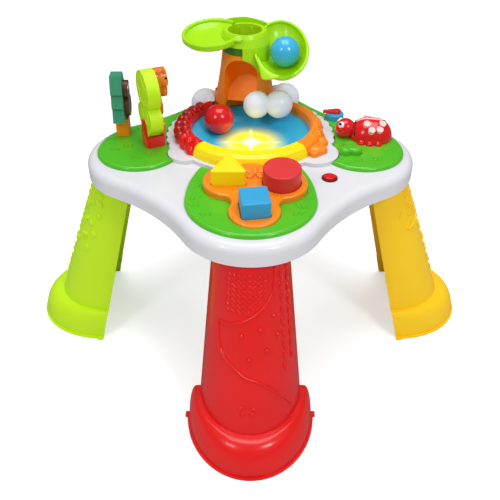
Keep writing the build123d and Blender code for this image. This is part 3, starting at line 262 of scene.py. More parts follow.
canopy_lime = plastic("leaf lime", (0.40, 0.76, 0.004), (0.34, 0.70, 0.002), 0.32)
ball_blue = plastic("shiny blue", (0.05, 0.44, 0.72), (0.035, 0.38, 0.65), 0.2, 0.5)
ball_red = plastic("ball red", (0.72, 0.012, 0.014), (0.62, 0.008, 0.01), 0.2, 0.5)
print("materials:", len(bpy.data.materials))

# %% Plastics of the animals, the trees, the buttons and the works
pine = plastic("pine green", (0.04, 0.28, 0.155), (0.03, 0.23, 0.125), 0.38)
squirrel_orange = plastic("squirrel orange", (0.84, 0.22, 0.006), (0.42, 0.07, 0.002), 0.4)
owl_brown = plastic("owl brown", (0.10, 0.035, 0.012), (0.06, 0.02, 0.008), 0.4)
red_gloss = plastic("shiny red", (0.70, 0.01, 0.01), (0.6, 0.006, 0.006), 0.2, 0.5)
pale = plastic("pale pink", (0.86, 0.56, 0.54), (0.80, 0.48, 0.46), 0.35)
# The power bezel's deep red-brown is painted shade of the gap round the button.
gap_shade_red = plastic("bezel red with painted gap shade", (0.16, 0.010, 0.010), (0.11, 0.006, 0.006), 0.3)
black = plastic("dark plastic", (0.012, 0.012, 0.014), (0.02, 0.02, 0.022), 0.4)
board = plastic("circuit green", (0.01, 0.12, 0.04), (0.008, 0.09, 0.03), 0.35)
print("materials:", len(bpy.data.materials))

# %% [markdown]
# ## Metals
# Screws, spindles and battery cells are metal, and almost all of it is hidden. A metal
# could have a shader of its own, but a plain one differs from the plastic only in being
# fully metallic, without a coat and with a deeper grain.

# %% Metals
def metal(name, colour, shade, rough):
    """The plastic's surface with no coat, twice the grain depth, and fully metallic."""
    material = plastic(name, colour, shade, rough, coat=0.0, depth=0.00004)
    material.node_tree.nodes["Principled BSDF"].inputs["Metallic"].default_value = 1.0
    return material


steel = metal("bright steel", (0.62, 0.62, 0.64), (0.50, 0.50, 0.53), 0.3)
cell = metal("cell jacket", (0.30, 0.30, 0.33), (0.22, 0.22, 0.25), 0.35)
print("materials:", len(bpy.data.materials))

# %% [markdown]
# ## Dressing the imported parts
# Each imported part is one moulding, so one material covers it all. The parts could be
# dressed one by one, but a table from plastic to parts reads like a parts list, and its
# count shows that none is left out. Only the material changes, never the mesh.

# %% Give each part its plastic
parts_of = (
    (white, "tabletop_shell base_cover cloud_skirt selector_pin piano_frame battery_door"),
    (red, "leg_front ring_red oak_trunk piano_key_red"),
    (lime, "leg_left oak_crown piano_key_green"),
    (golden, "leg_right"), (blue_leg, "leg_back"),
    (green, "front_island meadow_plate bush_button"),
    (orange, "sorter_plate ring_orange pine_trunk piano_key_orange"),
    (block_red, "block_cylinder"), (block_yellow, "block_triangle piano_key_yellow"),
    (sky, "block_cube selector_dial piano_key_blue"),
    (bowl_blue, "bowl"), (yellow, "ring_yellow"), (trunk_orange, "trunk"),
    (cloud_white, "cloud_front cloud_left cloud_right ladybird_eyes"),
    # The collar's deep green is painted shade under the left tray.
    (collar_green_shaded, "canopy_collar"), (canopy_lime, "canopy"),
    (ball_red, "ball_red"), (ball_blue, "ball_blue"), (pine, "pine_crown"),
    (owl_brown, "pine_owl"), (squirrel_orange, "oak_squirrel"),
    (red_gloss, "ladybird_shell ladybird_head power_button selector_lever"),
    (pale, "ladybird_spots ladybird_key_1 ladybird_key_2 ladybird_key_3 ladybird_key_4"),
    # The power bezel takes the painted shade of the gap round the button.
    (gap_shade_red, "power_bezel"), (black, "speaker battery_box"), (board, "main_board led_board"),
    (cell, "batteries"), (steel, "tree_spindles battery_door_screw base_screws"))
dressed = 0
for material, parts in parts_of:
    for part in parts.split():
        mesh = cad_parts[part].data
        mesh.materials.clear()
        mesh.materials.append(material)
        dressed += 1
print("dressed parts:", dressed, "of", len(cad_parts))

# %% [markdown]
# ## From a grid of points to a piece
# The small relief stands on the parts as ribs and low stones. It could be bump in the
# material, but then the model's edge and its mesh would lack it. So each bit is a grid
# of points, worked out as a whole: rows run along it and columns go round it.
# `solid_of` closes such a grid, and `piece` joins several in one object.

# %% Closed grids and pieces
def volume_of(points, triangles):
    """Six times the volume inside triangles: first corner . (second x third), summed. It is
    negative where they face inwards."""
    first, second, third = (points[triangles[:, corner]] for corner in range(3))
    return np.einsum("ij,ij->", first, np.cross(second, third))


def solid_of(grid):
    """Points and faces of a grid whose columns close on themselves. Four neighbours make a
    face, and a fan from the middle of the first and the last row closes each end."""
    rows, columns = grid.shape[:2]
    row, column = np.arange(rows - 1)[:, None] * columns, np.arange(columns)[None, :]
    after = (column + 1) % columns
    sides = np.stack([row + column, row + after, row + columns + after, row + columns + column],
                     -1).reshape(-1, 4)
    points = np.concatenate([grid.reshape(-1, 3), grid[:1].mean(1), grid[-1:].mean(1)])
    column, after = column[0], after[0]
    last, hub = (rows - 1) * columns, rows * columns
    start = np.stack([after, column, np.full(columns, hub)], -1)
    end = np.stack([last + column, last + after, np.full(columns, hub + 1)], -1)
    halves = (sides[:, :3], sides[:, [0, 2, 3]])
    inside = sum(volume_of(points, part) for part in (*halves, start, end))
    turn = 1 if inside > 0 else -1
    return points, [sides[:, ::turn], start[:, ::turn], end[:, ::turn]]


def piece(name, grids, material, body="table"):
    """One object made of several closed grids, riding with a body of the table."""
    points, faces, first = [], [], 0
    for grid in grids:
        own, groups = solid_of(grid)
        points.append(own)
        for group in groups:
            faces += (group + first).tolist()
        first += len(own)
    mesh = bpy.data.meshes.new(name)
    mesh.from_pydata(np.concatenate(points).tolist(), [], faces)
    mesh.polygons.foreach_set("use_smooth", np.ones(len(mesh.polygons), bool))
    mesh.materials.append(material)
    mesh.update()
    thing = bpy.data.objects.new(name, mesh)
    bpy.context.scene.collection.objects.link(thing)
    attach(thing, body)
    print(name, "closed grids:", len(grids), "faces:", len(mesh.polygons))


block = np.array([[(1, 0, z), (0, 1, z), (-1, 0, z), (0, -1, z)] for z in (0, 1)], float)
print("faces of a small closed grid:", [len(part) for part in solid_of(block)[1]])

# %% [markdown]
# ## Paths and ribs
# Moulded lines, veins, seams and lips are round bars that follow a curve and end softly.
# Curve objects with a bevel could make them, but their ends are cut off flat. A ring of
# points carried along the path can shrink to nothing at both ends.

# %% Paths and ribs
SMALLEST = 0.02         # a round end stops at a tiny ring, which a fan of faces closes


def unit(vectors):
    """Vectors of length one: each divided by its own length."""
    return vectors / np.linalg.norm(vectors, axis=-1, keepdims=True)


def curve_through(points, count):
    """Smooth path through points. Between b and c it is half of
    2b + (c - a)t + (2a - 5b + 4c - d)t^2 + (3b - a - 3c + d)t^3, with a before b, d after c
    and t from 0 to 1. Past each end the line is taken to go straight on."""
    p = np.asarray(points, float)
    p = np.concatenate([2 * p[:1] - p[1:2], p, 2 * p[-1:] - p[-2:-1]])
    place = np.linspace(0, len(p) - 3 - 1e-9, count)
    i, t = place.astype(int), (place % 1)[:, None]
    a, b, c, d = p[i], p[i + 1], p[i + 2], p[i + 3]
    return 0.5 * (2 * b + (c - a) * t + (2 * a - 5 * b + 4 * c - d) * t**2
                  + (3 * b - a - 3 * c + d) * t**3)


def rib(path, up, radius, flat=1.0, sides=12):
    """Round bar along a path. Its section is cos(a) * flat over the path and sin(a) across
    it. The size is radius * sqrt(1 - (1 - n)^2), where n is the way to the nearer end over
    the radius and at most 1, so each end is round like a ball."""
    path = np.asarray(path, float)
    up = unit(np.broadcast_to(np.asarray(up, float), path.shape))
    along = unit(np.gradient(path, axis=0))
    across = unit(np.cross(along, up))
    over = np.cross(across, along)
    gone = np.concatenate([[0], np.cumsum(np.linalg.norm(np.diff(path, axis=0), axis=1))])
    near = np.clip(np.minimum(gone, gone[-1] - gone) / radius, SMALLEST, 1)
    size = radius * np.sqrt(1 - (1 - near) ** 2)
    a = np.linspace(0, 2 * np.pi, sides, endpoint=False)[None, :, None]
    ring = np.cos(a) * over[:, None] * flat + np.sin(a) * across[:, None]
    return path[:, None] + size[:, None, None] * ring


print("points on a short rib:", rib([(0, 0, 0), (0.01, 0, 0)], (0, 0, 1), 0.001).shape)

# %% [markdown]
# ## Stones
# Fruit, petals, scales, eyes and paws are low rounded stones. Scaled spheres could stand
# for them, but some need a fuller form than an ellipsoid. One formula with three half
# sizes and a power gives them all.

# %% Stones
STONE_ROWS, STONE_COLUMNS = 13, 24


def pebble(at, up, along, length, width, height, power=2.0):
    """Rounded stone with half sizes along three directions. With b from pole to pole and a
    round the stone, its point is s(sin b) s(cos a) along, s(sin b) s(sin a) across and
    s(cos b) up, where s(v) is v to the power of 2 / power, with its sign kept."""
    up, along = unit(np.asarray(up, float)), np.asarray(along, float)
    across = unit(np.cross(up, along))
    along = np.cross(across, up)

    def swell(v):
        return np.sign(v) * np.abs(v) ** (2 / power)

    b = np.linspace(SMALLEST, np.pi - SMALLEST, STONE_ROWS)[:, None]
    a = np.linspace(0, 2 * np.pi, STONE_COLUMNS, endpoint=False)[None, :]
    x, y = swell(np.sin(b)) * swell(np.cos(a)), swell(np.sin(b)) * swell(np.sin(a))
    z = swell(np.cos(b)) + 0 * a
    return (np.asarray(at, float) + (length * x)[..., None] * along
            + (width * y)[..., None] * across + (height * z)[..., None] * up)


print("points on a stone:", pebble((0, 0, 0), (0, 0, 1), (1, 0, 0), 1, 1, 1).shape)

# %% [markdown]
# ## The face of a leg
# Every leg carries moulded relief on its outer face. It could be made flat and bent onto
# the leg with a modifier, but the face has a plain form: half an ellipse that grows
# towards the floor. So a place on it is an angle round the ellipse and a height, and the
# same list of places serves all four legs.

# %% Places on a leg
RIM_UNDER = 0.285                   # the table's lower rim, where the legs begin
LEG_HALF_WIDTH = (0.052, 5.5)       # each: size at the rim, and its lean in degrees
LEG_MIDDLE = (0.182, 14.2)
LEG_FRONT = (0.243, 20.9)


def on_leg(angle, height, turn):
    """Point and outward direction on a leg's face, from an angle in degrees, a height, and
    the leg's own turn. A measure of the leg is its size at the rim plus the drop below the
    rim times the tangent of its lean. The point is the middle plus (front - middle) cos
    outwards, and half the width times sin sideways."""
    def grown(measure, drop):
        return measure[0] + drop * math.tan(math.radians(measure[1]))

    def point(angle, height):
        drop = RIM_UNDER - height
        inner, outer = grown(LEG_MIDDLE, drop), grown(LEG_FRONT, drop)
        x = inner + (outer - inner) * np.cos(np.radians(angle))
        y = grown(LEG_HALF_WIDTH, drop) * np.sin(np.radians(angle))
        c, s = math.cos(math.radians(turn)), math.sin(math.radians(turn))
        return np.stack([c * x - s * y, s * x + c * y, height + 0 * x], -1)

    angle, height = np.asarray(angle, float), np.asarray(height, float)
    here = point(angle, height)
    round_it, up_it = point(angle + 0.5, height) - here, point(angle, height + 0.0005) - here
    return here, unit(np.cross(round_it, up_it))


def leg_line(places, turn, radius, count=60):
    """Rib on a leg's face along a smooth path through (angle, height in mm) places."""
    track = curve_through(places, count)
    at, out = on_leg(track[:, 0], track[:, 1] / 1000, turn)
    return rib(at, out, radius)


def leg_stone(angle, height, turn, length, width, lean, rise):
    """Low stone at an angle and a height in mm. Its long side is up * cos(lean) plus
    sideways * sin(lean), with lean in degrees."""
    at, out = on_leg(angle, height / 1000, turn)
    up = unit(on_leg(angle, height / 1000 + 0.001, turn)[0] - at)
    along = up * math.cos(math.radians(lean)) + np.cross(out, up) * math.sin(math.radians(lean))
    return pebble(at, out, along, length, width, rise)


print("front leg at half height:", on_leg(0, 0.14, 270)[0].round(4))

# %% [markdown]
# ## Marks that all legs share
# The moulding suggests a meadow: a long curved line, a field of zigzags above it, dots
# and a small flower. It could be drawn as one height map, but short lists of places
# keep each mark crisp and easy to move. All places are (angle in degrees, height in mm).

# %% Marks that all legs share
upper_line = [(35, 274), (34, 254), (29, 238), (16, 224), (3, 215), (-9, 208), (-28, 200),
              (-46, 197)]
lower_line = [(-46, 196), (-45, 180), (-42, 162), (-34, 151), (-24, 144), (-8, 132), (13, 121),
              (35, 97), (54, 66)]
dots = [(31, 210), (12, 196), (-12, 188), (20, 166), (-2, 156), (36, 182)]
PETAL_ANGLES = [72 * petal + 18 for petal in range(5)]


def zigzags(turn):
    """Up to eight zigzags 6.6 mm apart, from the edge at -38 degrees to 7 degrees short of
    the upper line. Every second point of a zigzag stands 3.6 mm higher."""
    line_angles, line_heights = zip(*upper_line[::-1])
    made = []
    for row in range(8):
        height = 264 - 6.6 * row
        angles = np.arange(-38, np.interp(height, line_heights, line_angles) - 7, 4.0)
        heights = height + 3.6 * (np.arange(len(angles)) % 2)
        if len(angles) > 3:
            places = list(zip(angles, heights))
            made.append(leg_line(places, turn, 0.0013, 8 * len(angles)))
    return made


def leg_flower(turn):
    """Five petals round the place (-4, 84), away from it by 8 degrees times cos and 7 mm
    times sin of their own angle."""
    made = []
    for petal in PETAL_ANGLES:
        a = math.radians(petal)
        made.append(leg_stone(-4 + 8 * math.cos(a), 84 + 7 * math.sin(a), turn,
                              0.0044, 0.0026, 90 - petal, 0.0017))
    return made


print("marks: dots", len(dots), "zigzags", len(zigzags(0)), "petals", len(leg_flower(0)))

# %% [markdown]
# ## Marks of single legs, and the four pieces
# The front and the back leg add a lower line and two rows of scales along one edge. The
# side legs have a row of scales down the middle instead, with soft bumps on the left leg
# and strokes on the right one. Four written-out legs would repeat most of it, so one
# function makes any leg from its turn and its side.

# %% Four legs
bumps = [(22, 262), (48, 256), (50, 243), (18, 232), (40, 206), (24, 205), (34, 240), (52, 222),
         (30, 178), (50, 188), (14, 250), (44, 160)]
strokes = [[(-38, 214), (-42, 207), (-50, 196)], [(-30, 254), (-33, 248), (-37, 240)],
           [(-48, 232), (-52, 226), (-56, 218)]]


def edge_scales(turn):
    """Two rows of nine scales at 46 and 60 degrees, every 16 mm, that lean to each other."""
    made = []
    for step in range(9):
        height = 258 - 16.0 * step
        made.append(leg_stone(46, height, turn, 0.0078, 0.0036, 14, 0.0027))
        made.append(leg_stone(60, height + 8.0, turn, 0.0078, 0.0036, -14, 0.0027))
    return made


def middle_scales(turn, side):
    """Sixteen scales every 11.5 mm, by turns 4 and 7 degrees to one side of the middle."""
    return [leg_stone(side * (4 + 3 * (step % 2)), 268 - 11.5 * step, turn,
                      0.0045, 0.0036, 0, 0.0026) for step in range(16)]


def leg_relief(turn, side):
    """All marks of one leg. Side is 0 for the front and back legs, 1 for the left leg and
    -1 for the right leg."""
    made = [leg_line(line, turn, 0.0023) for line in (upper_line, lower_line)[:1 if side else 2]]
    made += [leg_stone(a, h, turn, 0.0036, 0.0036, 0, 0.0034) for a, h in dots]
    made += zigzags(turn)
    if not side:
        made += edge_scales(turn)
    made += leg_flower(turn)
    if side > 0:
        made += [leg_stone(a, h, turn, 0.0062, 0.0048, a, 0.0024) for a, h in bumps]
    if side < 0:
        made += [leg_line(stroke, turn, 0.0020, 24) for stroke in strokes]
    if side:
        made += middle_scales(turn, side)
    return made


for name, turn, side, material in (("front", 270, 0, red), ("left", 180, 1, lime),
                                   ("right", 0, -1, golden), ("back", 90, 0, blue_leg)):
    piece("leg_relief_" + name, leg_relief(turn, side), material)

# %% [markdown]
# ## Fruit and smooth leaves on the red part of the ring
# The red part looks like a bank of round fruit that ends in three smooth leaves. The
# fruit could be scattered by a particle system, but there are only two rows, so each is
# placed by its angle round the bowl and leans away from a point under its middle.

# %% Ring: fruit and red leaves
PLATE_TOP = 0.321           # top of the green plates
RING_AT_Y = 0.05            # the ring's centre lies this far behind the table's


def on_ring(angle, radius, height):
    """Point of the ring: radius * (cos, sin) of an angle in degrees round its centre, and a
    height above the green plates."""
    angle = np.radians(angle)
    return np.stack([radius * np.cos(angle), RING_AT_Y + radius * np.sin(angle),
                     PLATE_TOP + height + 0 * angle], -1)


fruit_rows = ((0.1150, 0.0085, 0.0098, 138, 199),       # radius, height, size, first and last angle
              (0.1050, 0.0150, 0.0080, 143, 204))
FRUIT_APART = 9.6           # degrees
fruit = []
for radius, height, size, first, last in fruit_rows:
    for angle in np.arange(first, last, FRUIT_APART):
        at = on_ring(angle, radius, height)
        out = unit(at - np.array([0, RING_AT_Y, 0.31]))
        fruit.append(pebble(at, out, (0, 0, 1), size, size, size * 0.85))
# The fruit's darker red is painted shade among the crowded fruit.
piece("ring_fruit", fruit, shaded_berry_red)

pads = []
for angle, radius, reach in ((205.5, 0.1130, 0.0125), (213.0, 0.1110, 0.0130),
                             (219.0, 0.1040, 0.0110)):
    at = on_ring(angle, radius, 0.0105)
    out = unit(at - np.array([0, RING_AT_Y, 0.30]))
    round_it = np.array([-math.sin(math.radians(angle)), math.cos(math.radians(angle)), 0])
    pads.append(pebble(at, out, round_it, reach * 0.55, reach, 0.0085, 2.4))
piece("ring_red_leaves", pads, red)

# %% [markdown]
# ## Leaves on the orange part of the ring
# The orange part has three low lobes and one pointed leaf. Two soft slopes fill the
# steps between the pointed leaf, the first lobe and the plate, and fine veins run over
# all of them. The veins could be projected onto the part, but `ring_height` says how
# high the part is at any place, so a vein can follow it a fifth of a millimetre up.

# %% Ring: slopes and veins
LOBES = (350.0, 371.0, 392.0)       # angles of the three lobes
LOBE_OUT = 0.106                    # and how far their middles lie from the ring's centre


def ring_height(radius, angle):
    """Height of the orange part above the plates: the larger of the ring's own profile,
    which falls towards its outside, and a cone with a flat top on each of the lobes."""
    own = np.interp(radius, [0.107, 0.113, 0.1165, 0.118], [0.018, 0.014, 0.007, 0.0])
    spot = radius[..., None] * np.stack([np.cos(np.radians(angle)), np.sin(np.radians(angle))], -1)
    cones = []
    for middle in np.radians(LOBES):
        top = LOBE_OUT * np.array([math.cos(middle), math.sin(middle)])
        apart = np.linalg.norm(spot - top, axis=-1)
        cones.append(np.interp(apart, [0.007, 0.016], [0.014, 0.0]))
    return np.maximum(own, np.max(cones, axis=0))


slopes = []
for angle, radius, length, width, rise in ((328.5, 0.1150, 0.0185, 0.0165, 0.0100),
                                           (341, 0.1130, 0.0150, 0.0110, 0.0105)):
    out = np.array([math.cos(math.radians(angle)), math.sin(math.radians(angle)), 0])
    slopes.append(pebble(on_ring(angle, radius, 0.0010), (0, 0, 1), out, length, width, rise, 2.3))
piece("ring_leaf_slopes", slopes, orange)

veins = []
share = np.linspace(0, 1, 30)
for middle in LOBES:
    for turn_by, reach in ((0, 0.0155), (-7.5, 0.0110), (7.5, 0.0110)):
        radius, angle = 0.1035 + reach * share, middle + turn_by * share
        over = on_ring(angle, radius, ring_height(radius, angle) + 0.0002)
        veins.append(rib(over, (0, 0, 1), 0.0011))
spine = on_ring(np.linspace(323.5, 329, 30), np.linspace(0.1185, 0.1315, 30), 0.0081)
veins.append(rib(spine, (0, 0, 1), 0.0013))
for along_spine in (0.25, 0.55):
    foot = spine[int(29 * along_spine)]
    for way in ((-0.2, -1.0, 0), (1.0, 0.35, 0)):
        run = np.linspace(0, 0.0052 * (1.2 - along_spine), 14)[:, None]
        veins.append(rib(foot + run * unit(np.array(way)), (0, 0, 1), 0.0010))
piece("ring_leaf_veins", veins, orange)

# %% [markdown]
# ## Flower on the sorter
# A five-petalled flower sits on the orange plate between the blocks. It could be cut
# from one disc, but a round middle and five long stones have the soft valleys of a
# moulded flower. The plate slopes down to the front, so every stone leans with it.

# %% Sorter flower
SLOPE = math.radians(5)
PETALS_OUT = 0.0110         # from the flower's middle to the middle of a petal
slope_up = np.array([0, -math.sin(SLOPE), math.cos(SLOPE)])


def on_slope(x, y):
    """Point on the plate: its height is 330 mm at y = -150 mm and grows by tan(slope)."""
    return np.array([x, y, 0.330 + (y + 0.150) * math.tan(SLOPE)])


flower_at = on_slope(0.006, -0.099)
flower = [pebble(flower_at, slope_up, (1, 0, 0), 0.0042, 0.0042, 0.0022)]
for a in np.radians(PETAL_ANGLES):
    way = np.array([math.cos(a), math.sin(a), 0])
    flower.append(pebble(flower_at + way * PETALS_OUT, slope_up, way, 0.0075, 0.0046, 0.0026))
piece("sorter_flower", flower, orange)

# %% [markdown]
# ## Grass
# Small tufts of three blades lie on the green plates. Hair would be far too fine: on
# the toy they are moulded ridges. So each blade is a short flat rib, 9 mm long from foot
# to tip along Y, and a sine of the tuft's number leans each tuft its own way.

# %% Grass on the plates
tufts = [(-0.176, 0.057), (-0.210, -0.012), (-0.190, -0.001), (-0.175, -0.039),
         (-0.150, -0.030), (-0.225, 0.020), (0.215, -0.015), (0.190, -0.040),
         (0.165, -0.045), (-0.080, -0.150), (-0.074, -0.168), (0.078, -0.150),
         (0.072, -0.172), (0.060, -0.188), (-0.058, -0.190), (-0.083, -0.120)]
BLADE_APART, BLADE_LONG, BLADE_RADIUS = 0.0040, 0.0090, 0.0012
grass = []
share = np.linspace(0, 1, 14)[:, None]
for index, (x, y) in enumerate(tufts):
    for blade in (-1, 0, 1):
        foot = np.array([x + BLADE_APART * blade, y, PLATE_TOP])
        way = np.array([0.35 * blade + 0.5 * math.sin(3.0 * index), 1.0, 0.0])
        grass.append(rib(foot + share * way * BLADE_LONG, (0, 0, 1), BLADE_RADIUS, 0.9))
piece("plate_grass", grass, green)

# %% [markdown]
# ## Lines on the ladybird
# A pale rib runs along the seam between the wings and ends in a dark tip, and a dark rib
# parts body and head. The pale colour is a painted highlight along the ridge of the wings,
# and the dark tip and the dark rib are painted shade in the gaps at the wings' end and at
# the neck. The material could paint them, but here they are thin ribs that stand up a
# little. The body is a short cylinder with round ends, so a place on it is a distance
# along its axis and an angle from the top.

# %% Ladybird: seam highlight, tail shade and neck shade
BUG_AT, BUG_TURN = np.array([0.191, 0.037, 0.324]), math.radians(-10)
BUG_RADIUS, BUG_HALF_STRAIGHT = 0.028, 0.006
bug_along = np.array([math.cos(BUG_TURN), math.sin(BUG_TURN), 0])
bug_side = np.array([-math.sin(BUG_TURN), math.cos(BUG_TURN), 0])


def on_body(along, round_it):
    """Point of the body. Past the straight part the radius shrinks as on a ball:
    sqrt(radius^2 - past^2). The angle, in degrees, turns it from the top to the side."""
    past = np.clip(np.abs(along) - BUG_HALF_STRAIGHT, 0, None)
    size = np.sqrt(np.clip(BUG_RADIUS**2 - past**2, 0, None))
    a = np.radians(round_it)
    return (BUG_AT + np.multiply.outer(along, bug_along)
            + np.multiply.outer(size * np.sin(a), bug_side)
            + np.multiply.outer(size * np.cos(a), (0, 0, 1)))


run = np.linspace(-0.0245, 0.0170, 60)
# The seam's pale colour is a painted highlight along the ridge of the wings.
piece("ladybird_seam_highlight", [rib(on_body(run, 0 * run), (0, 0, 1), 0.0017, 0.8)], pale)
tip_run = np.linspace(0.0150, 0.0215, 24)
# The dark tip is painted shade at the end of the gap between the wings.
piece("ladybird_tail_shade", [rib(on_body(tip_run, 0 * tip_run), (0, 0, 1), 0.0024, 0.9)], black)
# The dark rib round the neck is painted shade in the gap between body and head.
collar = on_body(np.full(60, -0.0245), np.linspace(-72, 72, 60))
piece("ladybird_neck_shade", [rib(collar, unit(collar - BUG_AT), 0.0012)], black)

# %% [markdown]
# ## The ladybird's face
# Two dark pupils look up at the child, over a small smile. Both could be painted, but
# stones and a thin rib keep crisp edges from any side. The head is a ball, so the smile
# is a row of directions from its centre, laid on its surface.

# %% Ladybird: pupils and smile
HEAD_AT, HEAD_RADIUS = np.array([0.151, 0.041, 0.334]), 0.016
eyes = [HEAD_AT + HEAD_RADIUS * np.array([-0.46, 0.44 * side, 0.54]) for side in (-1, 1)]
looks = unit(np.array([[-0.55, -0.55, 0.60], [-0.55, 0.35, 0.60]]))
pupils = [pebble(eye + 0.0050 * way, way, (0, 0, 1), 0.0022, 0.0027, 0.0010)
          for eye, way in zip(eyes, looks)]
piece("ladybird_pupils", pupils, black)
a = np.radians(np.linspace(-75, 75, 40))
smile = unit(np.stack([-0.75 + 0 * a, a * 0.45 - 0.25, -0.12 - 0.22 * np.cos(a)], -1))
piece("ladybird_smile", [rib(HEAD_AT + HEAD_RADIUS * smile, smile, 0.0006)], black)

# %% [markdown]
# ## The round tree
# Its flat side carries raised outlines of leaves: a wavy one in the crown and two round
# ones in the bulges below. They could be cut into the part, but they are as fine as the
# lines on the legs, so they are ribs as well. The tree turns when a child spins it, so its
# pieces ride with it, and each place is given in the tree's own directions.

# %% Round tree: leaf lines
OAK = {"at": (-0.149, 0.012), "turn": 24, "rise": 0.018}        # rise: crown above the plate
PINE = {"at": (-0.203, 0.047), "turn": 2, "rise": 0.029}


def on_tree(tree, x, y, z):
    """Point of a tree from x through its flat side, y along it and z up from its crown's
    foot: (x, y) turned by the tree's own angle, moved to the tree."""
    c, s = math.cos(math.radians(tree["turn"])), math.sin(math.radians(tree["turn"]))
    return np.stack([tree["at"][0] + x * c - y * s, tree["at"][1] + x * s + y * c,
                     PLATE_TOP + (tree["rise"] + z) + 0 * (x + y)], -1)


oak_turn = math.radians(OAK["turn"])
oak_out = np.array([-math.cos(oak_turn), -math.sin(oak_turn), 0])
oak_near = np.array([math.sin(oak_turn), -math.cos(oak_turn), 0])
t = np.linspace(0, 2 * np.pi, 90)
wave = 0.0185 + 0.0022 * np.cos(5 * t)
leaf_face = -0.0131 + 0 * t
leaves = [on_tree(OAK, leaf_face, wave * np.sin(t), 0.071 + wave * 1.05 * np.cos(t))]
for y, z in ((-0.013, 0.031), (0.013, 0.028)):
    leaves.append(on_tree(OAK, leaf_face, y + 0.0095 * np.sin(t), z + 0.0095 * np.cos(t)))
piece("oak_leaf_lines", [rib(line, oak_out, 0.0011) for line in leaves], lime, "oak_tree")

# %% [markdown]
# ## The owl and the squirrel
# The owl looks out of the pine with two pale eyes. The squirrel sits at the edge of the
# round tree, with a dark eye on its flat side and one on its edge, an arm, a leg and
# two ears. They could be sculpted, but the toy's animals are as plain as this: low
# stones on a flat body.

# %% Animals on the trees
owl_eyes = [pebble(on_tree(PINE, 0.0145, y, 0.050), (1, 0.03, 0), (0, 0, 1),
                   0.0030, 0.0030, 0.0012) for y in (-0.005, 0.005)]
piece("owl_eyes", owl_eyes, cloud_white, "pine_tree")
squirrel_eyes = [
    pebble(on_tree(OAK, 0.0240, -0.004, 0.089), -oak_out, (0, 0, 1), 0.0022, 0.0022, 0.0010),
    pebble(on_tree(OAK, 0.0215, -0.0128, 0.090), oak_near, (0, 0, 1), 0.0020, 0.0020, 0.0010)]
piece("squirrel_eyes", squirrel_eyes, black, "oak_tree")
limbs = ((0.0205, -0.0100, 0.0835, 0.0075, 0.0050, 0.0040),     # x, y, z, then three half sizes
         (0.0190, -0.0062, 0.0690, 0.0090, 0.0044, 0.0046),
         (0.0125, -0.0080, 0.0980, 0.0052, 0.0034, 0.0040),     # the last two are the ears
         (0.0200, -0.0075, 0.0990, 0.0052, 0.0030, 0.0040))
fur = [pebble(on_tree(OAK, x, y, z), oak_near, (0, 0, 1), length, width, rise)
       for x, y, z, length, width, rise in limbs]
piece("squirrel_limbs", fur, squirrel_orange, "oak_tree")

# %% [markdown]
# ## Inside the ball hole, and the lens of the lamp
# Eight upright ribs guide a ball down the hole in the treetop, and a low lens closes the
# lamp in the floor of the bowl. An Array modifier could turn one rib about the hole, but
# it needs a second object as its centre. A loop over eight angles says it in one place.

# %% Hole ribs and lamp lens
TOWER_AT = (-0.009, 0.145)          # axis of the trunk, the neck and the ball hole
HOLE_RADIUS, RIBS, RIB_FOOT, RIB_TALL = 0.0272, 8, 0.426, 0.0265
ribs = []
share = np.linspace(0, 1, 24)[:, None]
for step in range(RIBS):
    a = math.radians(360 / RIBS * (step + 0.5))
    out = np.array([math.cos(a), math.sin(a), 0])
    foot = np.array([*TOWER_AT, RIB_FOOT]) + out * HOLE_RADIUS
    ribs.append(rib(foot + share * np.array([0, 0, RIB_TALL]), -out, 0.0016))
piece("ball_hole_ribs", ribs, canopy_lime)
piece("lamp_lens",
      [pebble((*LAMP_AT[:2], 0.3080), (0, 0, 1), (1, 0, 0), 0.011, 0.011, 0.0022)], lens)

# %% [markdown]
# ## Rolled lip of the right leaf
# A soft lip runs round each leaf of the treetop, so that no edge is sharp. The part's
# edge could be bevelled, but its mesh stays as it is, and a lip is thicker than the
# leaf. The right leaf is an ellipse in a plane that tips forward. Its rim has no lip
# where it would run through the neck, nor at the corner, which is the next piece.

# %% Right leaf: lip
LEAF_AT = np.array([0.049, 0.118, 0.434])
LEAF_HALF_WIDTH, LEAF_HALF_LENGTH = 0.0415, 0.0655
LEAF_TIP = math.radians(21)
LIP_FROM, LIP_TO = -0.0600, 4.5     # first place along the leaf, and last angle in radians


def outside_neck(path, radius):
    """True where the level distance from the tower's axis is more than a radius."""
    return np.hypot(path[:, 0] - TOWER_AT[0], path[:, 1] - TOWER_AT[1]) > radius


round_rim = np.radians(np.linspace(0, 360, 361))
x, y = LEAF_HALF_WIDTH * np.sin(round_rim), -LEAF_HALF_LENGTH * np.cos(round_rim)
rim = LEAF_AT + np.stack([x, y * math.cos(LEAF_TIP), y * math.sin(LEAF_TIP)], -1)
rim_up = np.array([0, -math.sin(LEAF_TIP), math.cos(LEAF_TIP)])
free = outside_neck(rim, 0.0425) & (y > LIP_FROM) & (round_rim < LIP_TO)
piece("leaf_lips", [rib(rim[free], rim_up, 0.0028, 1.0, 14)], canopy_lime)
print("lip points:", int(free.sum()), "of", len(rim))

# %% [markdown]
# ## Corner of the right leaf
# Where the right leaf leaves the neck it has a small angular corner. It could be pulled
# out of the leaf's mesh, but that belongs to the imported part. So a thin ellipse is
# carried between two curves: the outer one is the corner's outline, and the inner one
# stays inside the leaf.

